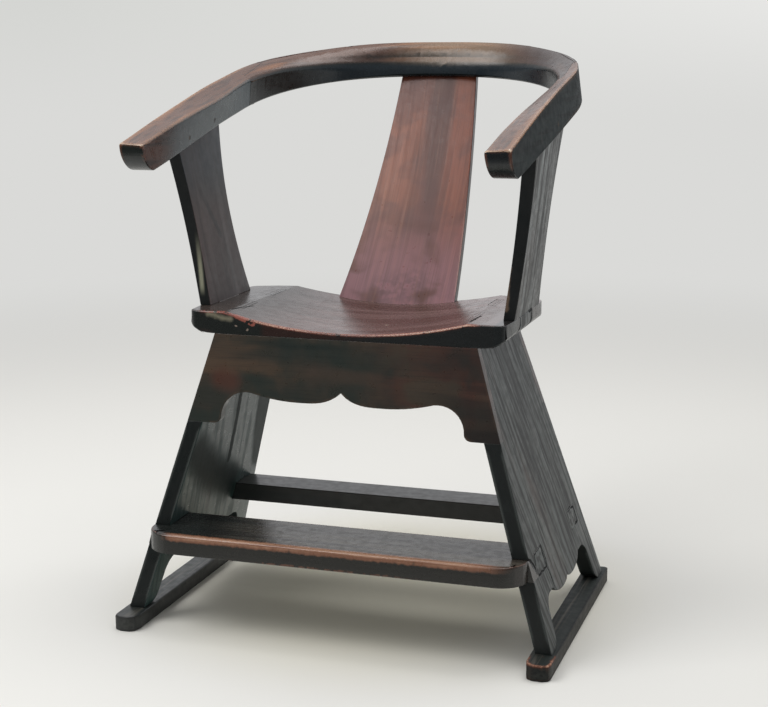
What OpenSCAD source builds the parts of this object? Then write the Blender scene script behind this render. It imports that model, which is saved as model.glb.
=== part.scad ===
// Horseshoe-back armchair on sled runners. Millimetres, +Z up, front towards -Y, symmetric about X = 0.

/* [Seat] */
// Height of the seat's flat shoulders above the floor
seat_top = 484; // [470:1:500]
// Thickness of the seat board
seat_t = 34; // [30:1:38]
// Half the seat's width, measured at the middle of its ends
seat_half_w = 249; // [244:1:254]
// Distance of the seat's front edge in front of the middle
seat_front = 130; // [126:1:134]
// Distance of the seat's rear edge behind the middle, at its centre
seat_rear = 150; // [147:1:156]
// How far the rear edge falls forward from its centre to the ends
seat_rear_bow = 31; // [26:1:40]
// How far the ends bow outwards between front and rear corner
seat_side_bow = 3; // [2:0.5:6]
// Plan radius of the seat's front corners
seat_front_r = 12; // [6:1:16]
// Plan radius of the seat's rear corners
seat_rear_r = 17; // [14:1:24]
// Depth of the scoop at the front edge
seat_dip = 24.5; // [18:0.5:25]
// Radius of the scoop across the seat
seat_dip_r = 740; // [720:10:800]
// Rise of the scoop's bottom from front to rear
seat_dip_rise = 4.5; // [3:0.5:6]
// Width of the rounding under the seat's ends
seat_under_w = 39; // [34:1:42]
// Height of the rounding under the seat's ends
seat_under_h = 22; // [18:1:24]

/* [Runners] */
// Height of a runner
runner_h = 23.5; // [21:0.5:27]
// Width of a runner
runner_w = 37; // [34:1:42]
// Distance of the runners' front ends in front of the middle
runner_front = 234.5; // [230:1:244]
// Distance of the runners' rear ends behind the middle
runner_rear = 214; // [210:1:224]
// Clip of the runners' front corners
runner_clip = 11; // [6:1:14]

/* [Leg boards] */
// Thickness of a leg board, square to its face
board_t = 24; // [22:0.5:27]
// Outer face of a leg board at the runner, from the middle
board_foot_x = 333.3; // [326:0.1:340]
// Outer face of a leg board under the seat, from the middle
board_top_x = 204.9; // [200:0.1:208]
// Front edge of a leg board at the runner
board_foot_front = 190.5; // [186:0.5:194]
// Front edge of a leg board under the seat
board_top_front = 130; // [126:0.5:131]
// Rear edge of a leg board at the runner
board_foot_rear = 192; // [188:0.5:196]
// Rear edge of a leg board under the seat
board_top_rear = 111; // [108:0.5:113]
// Length of the front foot on the runner
front_foot = 26; // [23:1:30]
// Length of the rear foot on the runner
rear_foot = 31; // [28:1:35]
// Height of the arches between the feet
arch_z = 90; // [84:1:96]
// Distance from a foot's inner corner to the top of its arch
arch_reach = 50; // [47:1:53]
// Height of the middle cusp between the two lobes
arch_cusp_z = 81; // [78:0.5:83]
// Drop of the two lobes below the line of the cusps
arch_lobe = 9; // [7:0.5:11]
// Front end of the lobed part, in front of the middle
lobe_front = 92; // [88:1:96]
// Rear end of the lobed part, behind the middle
lobe_rear = 84; // [80:1:88]

/* [Aprons] */
// Thickness of an apron
apron_t = 16; // [14:0.5:18]
// Height of the drop ends' lower edge above the floor
apron_foot_z = 316; // [308:1:324]
// Inner side of a drop end, from the middle
apron_drop_x = 190; // [186:1:194]
// Height of the apron's lower edge at the shoulders
apron_high_z = 365; // [360:1:370]
// Height of the middle cusp
apron_cusp_z = 373; // [369:1:377]
// Height of the long lobes' lowest part
apron_lobe_z = 354.5; // [351:0.5:358]
// Height of the step above a drop end
apron_step_z = 326; // [322:1:332]

/* [Footrest] */
// Height of the footrest's underside
rest_z = 124; // [118:1:130]
// Thickness of the footrest
rest_t = 31; // [27:1:34]
// Rear edge of the footrest, in front of the middle
rest_back = 100; // [96:1:104]
// Front edge of its tenons, in front of the middle
rest_tenon_front = 147; // [142:1:152]
// Front edge of the footrest, in front of the middle
rest_front = 216; // [210:1:222]
// Radius of its front corners
rest_corner = 38; // [30:1:42]
// How far its ends stand in front of the leg boards
rest_ear = 6.5; // [5:0.5:9]

/* [Rear stretcher] */
// Height of the stretcher's underside
bar_z = 123; // [118:1:130]
// Thickness of the stretcher
bar_t = 29; // [25:1:32]
// Front edge of the stretcher, behind the middle
bar_front = 84; // [80:1:88]
// Rear edge of the stretcher, behind the middle
bar_rear = 146; // [142:1:148]
// Rear edge of its tenons, behind the middle
bar_tenon_rear = 132; // [128:1:134]

/* [Arm supports] */
// Thickness of an arm support at its foot
support_t = 17; // [16:0.5:18]
// Thickness of an arm support under the arm
support_top_t = 20.5; // [19:0.5:22]
// Front of a support's foot, in front of the middle
support_foot_front = 84; // [80:1:88]
// Rear of a support's foot, behind the middle
support_foot_rear = 74; // [70:1:78]
// Front of a support under the arm, in front of the middle
support_top_front = 116; // [112:1:120]
// Rear of a support under the arm, behind the middle
support_top_rear = 44; // [40:1:48]
// Rear of a support at its waist, behind the middle
support_waist_rear = 38; // [35:0.5:42]
// Inset of a support's foot from the seat's end
support_inset = 1; // [0.5:0.5:2]
// How far a support's outer face stands outside the arm's upper edge, at its centre
support_top_out = 2; // [-0.5:0.5:3]
// Front side of the foot tenon, in front of the middle
foot_tenon_front = 50; // [46:1:54]
// Rear side of the foot tenon, behind the middle
foot_tenon_rear = 25; // [21:1:29]

/* [Back splat] */
// Thickness of the splat
splat_t = 15; // [13:0.5:16]
// Half the splat's width at the seat
splat_foot_w = 99; // [92:1:104]
// Half the splat's width under the rail
splat_top_w = 66; // [60:1:72]
// Front face of the splat on the seat, behind the middle
splat_foot_y = 119; // [116:0.5:120]
// Backward bend of the splat between its ends
splat_bend = 21.5; // [16:0.5:24]
// Half the width of the splat's tenons
splat_tenon_w = 54; // [48:1:56]

/* [Crest rail] */
// Height of the arms' underside at the front ends
rail_under = 696; // [690:1:704]
// Rise of the rail's underside over its run to the back
rail_rise = 0.195; // [0.185:0.001:0.205]
// How far the arms' undersides hang below a straight line
arm_belly = 3.5; // [2:0.5:4.5]
// Front ends of the arms, in front of the middle
rail_front = 262; // [254:1:270]
// Outer upper edge of the arms, from the middle
rail_half_w = 284; // [282:0.5:286]
// Where the arms begin to curve, behind the middle
rail_curve_y = 120; // [114:1:124]
// Depth of the curved back, from there to the outer upper edge
rail_back_d = 275; // [271:1:280]
// Squareness of the curve (2 is an ellipse)
rail_square = 2.3; // [2.1:0.05:2.4]
// Depth of the arms at the front ends
rail_h_front = 46.5; // [43:0.5:48]
// Depth of the arms where they are deepest
rail_h_mid = 59; // [55:0.5:60]
// Depth of the back rail in the middle
rail_h_back = 56; // [50:0.5:58]
// Width of the arms' top face
arm_top_w = 37; // [35:0.5:39]
// Width of the top face at the joints
joint_top_w = 30; // [28:0.5:32]
// Width of the sloping upper face at the middle of the back
back_top_w = 32; // [30:0.5:34]
// Drop of the upper face's inner edge at the joints
joint_drop = 14; // [11:0.5:16]
// Drop of the upper face's inner edge at the middle of the back
back_drop = 40; // [36:0.5:42]
// Swell of the back rail's upper face above a flat one
back_crown = 4; // [2:0.5:5]
// Width of the rail's underside
rail_under_w = 35; // [33:0.5:37]

/* [Joinery] */
// Clearance on each side of a joint
fit = 0.15; // [0.1:0.05:0.2]
// Thickness of the leg boards' tenons
leg_tenon_t = 12; // [10:0.5:13]
// Length of each leg tenon in the seat, front to back
leg_tenon_l = 58; // [52:1:60]
// Thickness of a wedge at its thick end
wedge_t = 2.6; // [2.2:0.1:3]
// Diameter of the pins in the arms
pin_d = 6; // [5:0.5:7]
// Diameter of the dowels behind the aprons
dowel_d = 7; // [6:0.5:8]
// Diameter of the keys in the rail's joints
key_d = 8; // [7:0.5:9]
// Diameter of the stretcher's pegs
peg_d = 7; // [6:0.5:8]

/* [Hidden] */
$fn = 48;
far = 900;
c_lacquer = [0.16, 0.12, 0.11];
c_green = [0.15, 0.17, 0.16];
c_splat = [0.42, 0.22, 0.18];
c_rail = [0.24, 0.17, 0.15];
c_pin = [0.10, 0.08, 0.08];

seat_under = seat_top - seat_t;
leg_run = seat_under - runner_h;
lean = atan((board_foot_x - board_top_x) / leg_run);
board_tx = board_t / cos(lean);
runner_mid = board_foot_x - board_tx / 2;

// Outer and inner face of the right leg board at a height
function out_x(z) = board_foot_x - (z - runner_h) * tan(lean);
function in_x(z) = out_x(z) - board_tx;
// Front and rear edge of the leg boards at a height (front as a negative y)
function front_y(z) = -board_foot_front + (z - runner_h) / leg_run * (board_foot_front - board_top_front);
function rear_y(z) = board_foot_rear - (z - runner_h) / leg_run * (board_foot_rear - board_top_rear);

// Points of an elliptic arc between two angles
function arc(cx, cy, rx, ry, a0, a1, n = 8) =
    [for (i = [0:n]) [cx + rx * cos(a0 + (a1 - a0) * i / n), cy + ry * sin(a0 + (a1 - a0) * i / n)]];
function flip(list) = [for (i = [len(list) - 1:-1:0]) list[i]];

// A side outline in (y, z), run across the chair between two x values
module across(points, x0, x1) {
    translate([x0, 0, 0]) rotate([90, 0, 90]) linear_extrude(x1 - x0) polygon(points);
}
// A front outline in (x, z), run through the chair between two y values
module along(points, y0, y1) {
    translate([0, y1, 0]) rotate([90, 0, 0]) linear_extrude(y1 - y0) polygon(points);
}
// Puts the middle of the chair's outline over the origin
module placed() {
    translate([0, (rail_front - rail_curve_y - rail_back_d - back_under_out) / 2, 0]) children();
}
module both() {
    children();
    mirror([1, 0, 0]) children();
}

// Seat
function side_x(y) = seat_half_w - seat_side_bow * pow((y - seat_mid) / seat_mid_run, 2);
seat_mid = (seat_rear - seat_rear_bow - seat_front) / 2;
seat_mid_run = (seat_rear - seat_rear_bow + seat_front) / 2;
function seat_right() = concat(
    arc(side_x(-seat_front) - seat_front_r, -seat_front + seat_front_r, seat_front_r, seat_front_r, -90, 0, 6),
    [for (i = [1:9])
        let (y = -seat_front + seat_front_r + (2 * seat_mid_run - seat_front_r - seat_rear_r) * i / 10)
        [side_x(y), y]],
    arc(side_x(seat_rear) + 1 - seat_rear_r, seat_rear - seat_rear_bow - seat_rear_r,
        seat_rear_r, seat_rear_r, 0, 74, 6),
    [for (i = [2:10]) let (x = seat_half_w * (1 - i / 10))
        [x, seat_rear - seat_rear_bow * pow(x / seat_half_w, 2)]]);
function mirrored(list) = [for (p = flip(list)) if (p[0] > 0.001) [-p[0], p[1]]];

function seat_side() = let (w = seat_half_w + 1) concat(
    [[w, seat_top]],
    arc(w - seat_under_w, seat_under + seat_under_h, seat_under_w, seat_under_h, 0, -90, 8));

module seat_blank() {
    difference() {
        intersection() {
            translate([0, 0, seat_under - 1]) linear_extrude(seat_t + 2)
                polygon(concat(seat_right(), mirrored(seat_right())));
            along(concat(seat_side(), mirrored(seat_side())), -far, far);
        }
        scoop();
    }
}
module scoop() {
    scoop_tilt = atan(seat_dip_rise / (seat_front + seat_rear));
    translate([0, -seat_front, seat_top - seat_dip + seat_dip_r])
        rotate([-90 + scoop_tilt, 0, 0])
            translate([0, 0, -40]) cylinder(r = seat_dip_r, h = seat_front + seat_rear + 80, $fn = 360);
}

// Leg tenons: a slice in the middle of the leaning board
function tenon_slice(half) =
    let (m0 = out_x(0) - board_tx / 2, m1 = out_x(far) - board_tx / 2, h = half / cos(lean))
    [[m0 - h, 0], [m0 + h, 0], [m1 + h, far], [m1 - h, far]];
// From the aprons' inner faces to the tenons
leg_tenon_front_gap = 28;
leg_tenon_rear_gap = 3;
leg_tenon_y = [-board_top_front + apron_t + leg_tenon_front_gap + leg_tenon_l / 2,
    board_top_rear - apron_t - leg_tenon_rear_gap - leg_tenon_l / 2];
module leg_tenon_zone(grow) {
    intersection() {
        along(tenon_slice(leg_tenon_t / 2 + grow), -far / 2, far / 2);
        for (y = leg_tenon_y)
            translate([board_top_x / 2, y - leg_tenon_l / 2 - grow, seat_under - 0.01])
                cube([board_top_x, leg_tenon_l + 2 * grow, seat_t + 1]);
    }
}
wedge_tip = 1;
seat_wedge_clear = 10;
seat_wedge_l = seat_t - seat_wedge_clear;
module seat_wedge_shape(grow) {
    h = seat_top + 2;
    past = grow > 0 ? 0.1 : 0;
    m = out_x(h) - board_tx / 2;
    z0 = seat_top - seat_wedge_l;
    m0 = out_x(z0) - board_tx / 2;
    for (y = leg_tenon_y)
        along([[m0 - wedge_tip / 2 - grow, z0 - grow], [m0 + wedge_tip / 2 + grow, z0 - grow],
            [m + wedge_t / 2 + grow, h], [m - wedge_t / 2 - grow, h]],
            y - leg_tenon_l / 2 - past, y + leg_tenon_l / 2 + past);
}

// Arm supports
support_out = seat_half_w - support_inset;
support_top_x = rail_half_w + support_top_out;
function rail_line(y) = rail_under + rail_rise * (y + rail_front);
// The arms hang a little below that line between their front ends and arm_belly_end
arm_belly_end = 20;
function belly(y) = let (s = (y + rail_front) / (arm_belly_end + rail_front))
    s > 0 && s < 1 ? arm_belly * sin(180 * sqrt(s)) : 0;
function under_z(y) = rail_line(y) - belly(y);
support_mid_y = (support_top_rear - support_top_front) / 2;
support_top_z = under_z(support_mid_y);
support_rise = support_top_z - seat_top;
// How much the supports' outer faces bulge, as a share of their flare
support_bow = 0.1;
function support_x(z) = let (t = (z - seat_top) / support_rise)
    support_out + (support_top_x - support_out) * ((1 + support_bow) * t - support_bow * t * t);
function support_in_x(z) = support_x(z) - between(support_t, support_top_t, (z - seat_top) / support_rise);
function support_front_y(t) = -support_foot_front
    - (support_top_front - support_foot_front) * pow(max(t - 0.15, 0) / 0.85, 2);
function support_rear_y(t) = support_waist_rear
    + (t < 0.7 ? (support_foot_rear - support_waist_rear) * pow((0.7 - t) / 0.7, 1.8)
        : (support_top_rear - support_waist_rear) * pow((t - 0.7) / 0.3, 2));
support_steps = 20;
module support_blank(z0, z1, y0, y1) {
    n = 12;
    along(concat(
        [for (i = [0:n]) let (z = z0 + (z1 - z0) * i / n) [support_x(z), z]],
        [for (i = [n:-1:0]) let (z = z0 + (z1 - z0) * i / n) [support_in_x(z), z]]), y0, y1);
}
support_tenon_h = 26;
support_tenon_in = 12;
support_tenon_t = 9;
module support_tenon(grow) {
    xm = support_x(support_top_z) - support_top_t / 2;
    y0 = -support_top_front + support_tenon_in - grow;
    y1 = support_top_rear - support_tenon_in + grow;
    across([[y0, under_z(y0) - 5], [y1, under_z(y1) - 5],
        [y1, under_z(y1) + support_tenon_h + grow], [y0, under_z(y0) + support_tenon_h + grow]],
        xm - support_tenon_t / 2 - grow, xm + support_tenon_t / 2 + grow);
}
foot_tenon_d = 18;
module foot_tenon_zone(grow) {
    translate([support_out - foot_tenon_d - grow, -foot_tenon_front - grow, seat_under - 2])
        cube([60, foot_tenon_front + foot_tenon_rear + 2 * grow, seat_t + 4]);
}

// Splat: a bent board, an arc in side view
back_under_out = 6;
splat_behind_edge = 9;
splat_head_y = rail_curve_y + rail_back_d + back_under_out - rail_under_w + splat_behind_edge;
splat_head_z = under_z(splat_head_y);
splat_scoop_rise = 2;
splat_foot_z = seat_top - seat_dip + splat_scoop_rise;
splat_chord = norm([splat_head_y - splat_foot_y, splat_head_z - splat_foot_z]);
splat_tilt = atan2(splat_head_y - splat_foot_y, splat_head_z - splat_foot_z);
splat_r = (pow(splat_chord / 2, 2) + pow(splat_bend, 2)) / (2 * splat_bend);
splat_head_in = 24;
// Side view in the chord's own frame: u backwards, v up the chord
module splat_frame() {
    translate([0, splat_foot_y, splat_foot_z]) rotate([-splat_tilt, 0, 0]) children();
}
module splat_band(front, thick) {
    over = 2 * splat_bend;
    splat_frame() rotate([90, 0, 90]) translate([0, 0, -far / 2]) linear_extrude(far)
        intersection() {
            translate([splat_bend - splat_r, splat_chord / 2]) difference() {
                circle(r = splat_r + front + thick, $fn = 360);
                circle(r = splat_r + front, $fn = 360);
            }
            translate([-over, -over]) square([3 * over, splat_chord + 2 * over]);
        }
}
function splat_half(v) = let (t = v / splat_chord)
    splat_foot_w + (splat_top_w - splat_foot_w) * (1.1 * t - 0.1 * t * t);
module splat_outline() {
    n = 12;
    splat_frame() translate([0, far / 2, 0]) rotate([90, 0, 0]) linear_extrude(far)
        polygon(concat(
            [for (i = [-1:n + 1]) let (v = splat_chord * i / n) [splat_half(v), v]],
            [for (i = [n + 1:-1:-1]) let (v = splat_chord * i / n) [-splat_half(v), v]]));
}
splat_tenon_t = 8;
module splat_tenon_zone(grow) {
    intersection() {
        splat_band((splat_t - splat_tenon_t) / 2 - grow, splat_tenon_t + 2 * grow);
        translate([-splat_tenon_w - grow, 0, 0]) cube([2 * (splat_tenon_w + grow), far, far * 1.2]);
    }
}
module splat_foot_zone(grow) {
    intersection() {
        splat_tenon_zone(grow);
        translate([-far / 2, 0, seat_under + (grow > 0 ? -1 : 0.3)]) cube([far, far, seat_t]);
    }
}
module splat_head_zone(grow) {
    intersection() {
        splat_tenon_zone(grow);
        above_under(-1, splat_head_in + grow);
    }
}
// A slab that follows the rail's underside, between two heights above it
module above_under(h0, h1) {
    ys = concat([-far / 2], [for (i = [0:40]) between(-rail_front, arm_belly_end, i / 40)], [far]);
    across(concat([for (y = ys) [y, under_z(y) + h0]], [for (y = flip(ys)) [y, under_z(y) + h1]]),
        -far / 2, far / 2);
}

// Crest rail. Stations run from u = -1 (arm end) over 0 (curve starts) to 1 (middle of the back).
function blend(a, b, c, d, t) = 0.5 * (2 * b + (c - a) * t + (2 * a - 5 * b + 4 * c - d) * t * t
    + (3 * b - a - 3 * c + d) * t * t * t);
// A smooth value at station u from nine values spaced evenly from -1 to 1
function smooth(v, u) = let (p = (u + 1) * 4, i = min(max(floor(p), 0), 7), t = p - i)
    blend(v[max(i - 1, 0)], v[i], v[i + 1], v[min(i + 2, 8)], t);
function between(a, b, t) = a + (b - a) * t;
rail_h_turn = 54.5;
rail_depth = [rail_h_front, between(rail_h_front, rail_h_mid, 0.42), between(rail_h_front, rail_h_mid, 0.75),
    rail_h_mid, between(rail_h_mid, rail_h_back, 0.33), between(rail_h_mid, rail_h_back, 0.8), rail_h_turn,
    rail_h_back, rail_h_back];
turn_top_w = 38;
top_w = [arm_top_w, arm_top_w, between(arm_top_w, joint_top_w, 0.07), between(arm_top_w, joint_top_w, 0.29),
    joint_top_w, between(joint_top_w, turn_top_w, 0.87), turn_top_w,
    between(turn_top_w, back_top_w, 0.67), back_top_w];
arm_drop = 2;
top_drop = [arm_drop, between(arm_drop, joint_drop, 0.25), between(arm_drop, joint_drop, 0.67),
    between(arm_drop, joint_drop, 1.17), joint_drop, between(arm_drop, joint_drop, 1.17),
    between(joint_drop, back_drop, 0.42), between(joint_drop, back_drop, 0.85), back_drop];
// How far the underside's outer edge stands outside the upper one
arm_under_out = 0.5;
joint_under_out = 8;
under_out = [arm_under_out, between(arm_under_out, joint_under_out, 0.27),
    between(arm_under_out, joint_under_out, 0.67), joint_under_out, joint_under_out,
    between(joint_under_out, back_under_out, 0.5), between(joint_under_out, back_under_out, 0.75),
    back_under_out, back_under_out];
function rail_plan(u) = u <= 0 ? [rail_half_w, rail_curve_y + u * (rail_curve_y + rail_front)]
    : [rail_half_w * pow(max(cos(90 * u), 0), 2 / rail_square),
        rail_curve_y + rail_back_d * pow(sin(90 * u), 2 / rail_square)];
function rail_normal(u) = u <= 0 ? [1, 0] : u >= 1 ? [0, 1] : let (p = rail_plan(u),
    nx = pow(p[0] / rail_half_w, rail_square - 1) / rail_half_w,
    ny = pow((p[1] - rail_curve_y) / rail_back_d, rail_square - 1) / rail_back_d)
    [nx, ny] / norm([nx, ny]);
// The four edges of the section at u: outer lower, outer upper, inner upper, inner lower
function rail_edges(u) = let (p = rail_plan(u), n = rail_normal(u),
    z = rail_line(p[1]) + smooth(rail_depth, u),
    ol = p + n * smooth(under_out, u),
    iu = p - n * smooth(top_w, u),
    il = p - n * (rail_under_w - smooth(under_out, u)))
    [[ol[0], ol[1], under_z(ol[1])], [p[0], p[1], z],
     [iu[0], iu[1], z - smooth(top_drop, u)], [il[0], il[1], under_z(il[1])]];
// Rounding of the four edges, and how much more the upper two get towards the middle of the back
under_round = 3;
outer_round = 2.5;
inner_round = 4;
outer_round_more = 2.5;
inner_round_more = 10;
function corner(a, b, c, r) = [for (t = [0:2])
    let (p = b + (a - b) * min(r / norm(a - b), 0.45), q = b + (c - b) * min(r / norm(c - b), 0.45), s = t / 2)
    (1 - s) * (1 - s) * p + 2 * s * (1 - s) * b + s * s * q];
// Points of the swelling upper face between its two rounded edges
function crown(a, b, n, h) =
    let (d = b - a, up = [n[0] * d[2], n[1] * d[2], norm([d[0], d[1]])] / norm(d))
    [for (s = [0.25, 0.5, 0.75]) a + d * s + up * h * 4 * s * (1 - s)];
function rail_ring(u) = let (e = rail_edges(u), back = max(u, 0),
    outer = corner(e[0], e[1], e[2], outer_round + back * outer_round_more),
    inner = corner(e[1], e[2], e[3], inner_round + back * inner_round_more)) concat(
    corner(e[3], e[0], e[1], under_round), outer,
    crown(outer[2], inner[0], rail_normal(u), back_crown * sin(90 * back)),
    inner, corner(e[2], e[3], e[0], under_round));
arm_steps = 52;
back_steps = 38;
function rail_stations(u0, u1, n) = [for (i = [0:n]) rail_ring(u0 + (u1 - u0) * i / n)];
function mirror_ring(ring) = [for (p = ring) [-p[0], p[1], p[2]]];
module loft(rings) {
    m = len(rings[0]);
    n = len(rings);
    polyhedron(points = [for (r = rings) for (p = r) p],
        faces = concat([[for (i = [m - 1:-1:0]) i]],
            [for (k = [0:n - 2]) for (i = [0:m - 1])
                let (a = k * m + i, b = k * m + (i + 1) % m, c = b + m, d = a + m)
                each [[a, b, c], [a, c, d]]],
            [[for (i = [0:m - 1]) (n - 1) * m + i]]));
}
// Joint line in plan: a nib across the inside, a long slope, a nib across the outside
scarf_start = 25;
scarf_run = 77;
scarf_inset = 19;
scarf_slant = 1;
scarf_in_y = rail_curve_y + scarf_start;
scarf_out_y = scarf_in_y + scarf_run;
scarf_in_x = rail_half_w - scarf_inset;
scarf_out_x = scarf_in_x - scarf_slant;
module scarf_side(shift) {
    translate([0, 0, rail_under - far / 2]) linear_extrude(far)
        polygon([[rail_half_w / 2, scarf_in_y + shift], [scarf_in_x - shift, scarf_in_y + shift],
            [scarf_out_x - shift, scarf_out_y + shift], [far, scarf_out_y + shift], [far, far], [-1, far],
            [-1, scarf_out_y], [rail_half_w / 2, scarf_out_y]]);
}
scarf_u = 0.42;
module arm_blank() {
    intersection() {
        loft(rail_stations(-1.02, scarf_u, arm_steps));
        arm_end();
    }
}
// Side outline of the arm's front end: upper edge foremost, rounded under
module arm_end() {
    z0 = under_z(-rail_front + tip_back);
    top = rail_line(-rail_front) + rail_h_front;
    across(concat([[-rail_front + tip_back, z0 - far / 2]],
        [for (a = [0:9:90]) [-rail_front + tip_back * (1 - pow(sin(a), tip_power)),
            between(top - tip_edge, z0, pow(cos(a), tip_power))]],
        [[-rail_front + tip_edge, top + tip_edge], [far, far * 2], [far, z0 - far / 2]]), rail_half_w / 2, far);
}
tip_back = 44;
tip_power = 1.11;
tip_edge = 3;
function key_spot(t) = [between(scarf_in_x, scarf_out_x, t), between(scarf_in_y, scarf_out_y, t)];
key_l = 40;
key_in = 1.5;
module keys() {
    for (t = [0.3, 0.7])
        let (k = key_spot(t)) translate([k[0], k[1], under_z(k[1]) + key_in])
            cylinder(d = key_d, h = key_l);
}
module key_bores() {
    for (t = [0.3, 0.7])
        let (k = key_spot(t)) translate([k[0], k[1], under_z(k[1]) - 10])
            cylinder(d = key_d + 2 * fit, h = 10 + key_in + key_l + fit);
}
pin_l = 32;
pin_up = 14;
pin_front_in = 8;
pin_rear_in = 31;
pin_y = [-support_top_front + support_tenon_in + pin_front_in,
    support_top_rear - support_tenon_in - pin_rear_in];
// Inner face of the right arm at pin height
function arm_face_x(y) = let (e = rail_edges((y - rail_curve_y) / (rail_curve_y + rail_front)))
    between(e[3][0], e[2][0], pin_up / (e[2][2] - e[3][2]));
module arm_pin_set(grow, out) {
    for (y = pin_y)
        translate([arm_face_x(y) + 0.3 - out, y, under_z(y) + pin_up]) rotate([0, 90, 0])
            cylinder(d = pin_d + 2 * grow, h = pin_l + out + grow);
}
module arm_rail() {
    difference() {
        arm_blank();
        scarf_side(0);
        key_bores();
        support_tenon(fit);
        arm_pin_set(fit, 8);
    }
}
module right_arm_rail() {
    color(c_rail) placed() arm_rail();
}
module left_arm_rail() {
    color(c_rail) placed() mirror([1, 0, 0]) arm_rail();
}
module back_rail() {
    u0 = -0.05;
    right = rail_stations(u0, 1, back_steps);
    left = [for (i = [back_steps - 1:-1:0]) mirror_ring(right[i])];
    color(c_rail) placed() difference() {
        intersection() {
            loft(concat(right, left));
            both() scarf_side(fit);
        }
        both() key_bores();
        splat_head_zone(fit);
    }
}
module scarf_keys() {
    color(c_pin) placed() both() keys();
}
module arm_pins() {
    color(c_pin) placed() both() arm_pin_set(0, 0);
}

module seat_board() {
    color(c_lacquer) placed() difference() {
        seat_blank();
        both() leg_tenon_zone(fit);
        both() foot_tenon_zone(fit);
        splat_foot_zone(fit);
    }
}

// Leg boards
front_tilt = atan((board_foot_front - board_top_front) / leg_run);
rear_tilt = atan((board_foot_rear - board_top_rear) / leg_run);
front_in = apron_t / cos(front_tilt);
rear_in = apron_t / cos(rear_tilt);
lobe_mid = (lobe_rear - lobe_front) / 2;
lobe_end_z = arch_z - 2.5;
// Width of the step between arch and lobes
arch_step = 3;
// Rounding of a foot's inner corner, and of the arch above it
foot_round = 18;
foot_round_h = 16.5;
arch_round = 27;
arch_round_h = 25;
function lobe(y0, z0, y1, z1) = [for (i = [0:10]) let (t = i / 10)
    [between(y0, y1, t), between(z0, z1, t) - arch_lobe * pow(sin(180 * t), 0.6)]];
// From a foot's corner at y up to the arch, towards the rear (way 1) or the front (way -1)
function foot_curve(y, way) = concat(
    arc(y, runner_h + foot_round_h, way * foot_round, foot_round_h, -90, 0, 5),
    arc(y + way * arch_reach, arch_z - arch_round_h, way * arch_round, arch_round_h, 180, 90, 7));
function leg_side() = concat(
    [[front_y(runner_h), runner_h]],
    foot_curve(-board_foot_front + front_foot, 1),
    [[-lobe_front - arch_step, arch_z]],
    lobe(-lobe_front, lobe_end_z, lobe_mid, arch_cusp_z),
    lobe(lobe_mid, arch_cusp_z, lobe_rear, lobe_end_z),
    [[lobe_rear + arch_step, arch_z]],
    flip(foot_curve(board_foot_rear - rear_foot, -1)),
    [[rear_y(runner_h), runner_h],
     [rear_y(apron_foot_z), apron_foot_z], [rear_y(apron_foot_z) - rear_in, apron_foot_z],
     [rear_y(seat_under) - rear_in, seat_under], [front_y(seat_under) + front_in, seat_under],
     [front_y(apron_foot_z) + front_in, apron_foot_z], [front_y(apron_foot_z), apron_foot_z]]);
function slab(z0, z1) = [[in_x(z0), z0], [out_x(z0), z0], [out_x(z1), z1], [in_x(z1), z1]];

foot_tenon_in = 4;
module runner_tenons(grow) {
    for (f = [[-board_foot_front + foot_tenon_in, front_foot - 2 * foot_tenon_in],
            [board_foot_rear - rear_foot + foot_tenon_in, rear_foot - 2 * foot_tenon_in]])
        translate([runner_mid - leg_tenon_t / 2 - grow, f[0] - grow, grow > 0 ? -1 : 0.5])
            cube([leg_tenon_t + 2 * grow, f[1] + 2 * grow, runner_h + 2]);
}
runner_wedge_h = 16;
module runner_wedge_set(grow) {
    past = grow > 0 ? 0.1 : 0;
    z0 = grow > 0 ? -1 : 0.5;
    for (y = [-board_foot_front + front_foot / 2, board_foot_rear - rear_foot / 2])
        across([[y - wedge_t / 2 - grow, z0], [y + wedge_t / 2 + grow, z0],
            [y + wedge_tip / 2 + grow, runner_wedge_h + grow],
            [y - wedge_tip / 2 - grow, runner_wedge_h + grow]],
            runner_mid - leg_tenon_t / 2 - past, runner_mid + leg_tenon_t / 2 + past);
}
// Footrest joint: a tenon, and an ear in front of it with a slanting rear side
rest_top = rest_z + rest_t;
ear_top_y = front_y(rest_top) + 0.5;
ear_under = 4;
ear_low_y = -rest_tenon_front - ear_under;
module rest_slot() {
    across([[-far / 2, rest_z - fit], [ear_low_y + fit, rest_z - fit], [ear_top_y + fit, rest_top + fit],
        [-far / 2, rest_top + fit]], rail_half_w / 2, far);
    translate([rail_half_w / 2, -rest_tenon_front - fit, rest_z - fit])
        cube([far, rest_tenon_front - rest_back + 2 * fit, rest_t + 2 * fit]);
}
module bar_slot() {
    translate([rail_half_w / 2, bar_front - fit, bar_z - fit])
        cube([far, bar_tenon_rear - bar_front + 2 * fit, bar_t + 2 * fit]);
}
dowel_end = 30;
dowel_z = [apron_foot_z + dowel_end, seat_under - dowel_end];
dowel_apron = 9;
dowel_l = 29;
function board_mid(z) = out_x(z) - board_tx / 2;
module front_dowels(grow) {
    for (z = dowel_z)
        translate([board_mid(z), front_y(z) + front_in + dowel_l - dowel_apron + grow, z]) rotate([90, 0, 0])
            cylinder(d = dowel_d + 2 * grow, h = dowel_l + 2 * grow);
}
module rear_dowels(grow) {
    for (z = dowel_z)
        translate([board_mid(z), rear_y(z) - rear_in + dowel_apron + grow, z]) rotate([90, 0, 0])
            cylinder(d = dowel_d + 2 * grow, h = dowel_l + 2 * grow);
}
peg_z = bar_z + bar_t / 2;
peg_in = 18;
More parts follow.
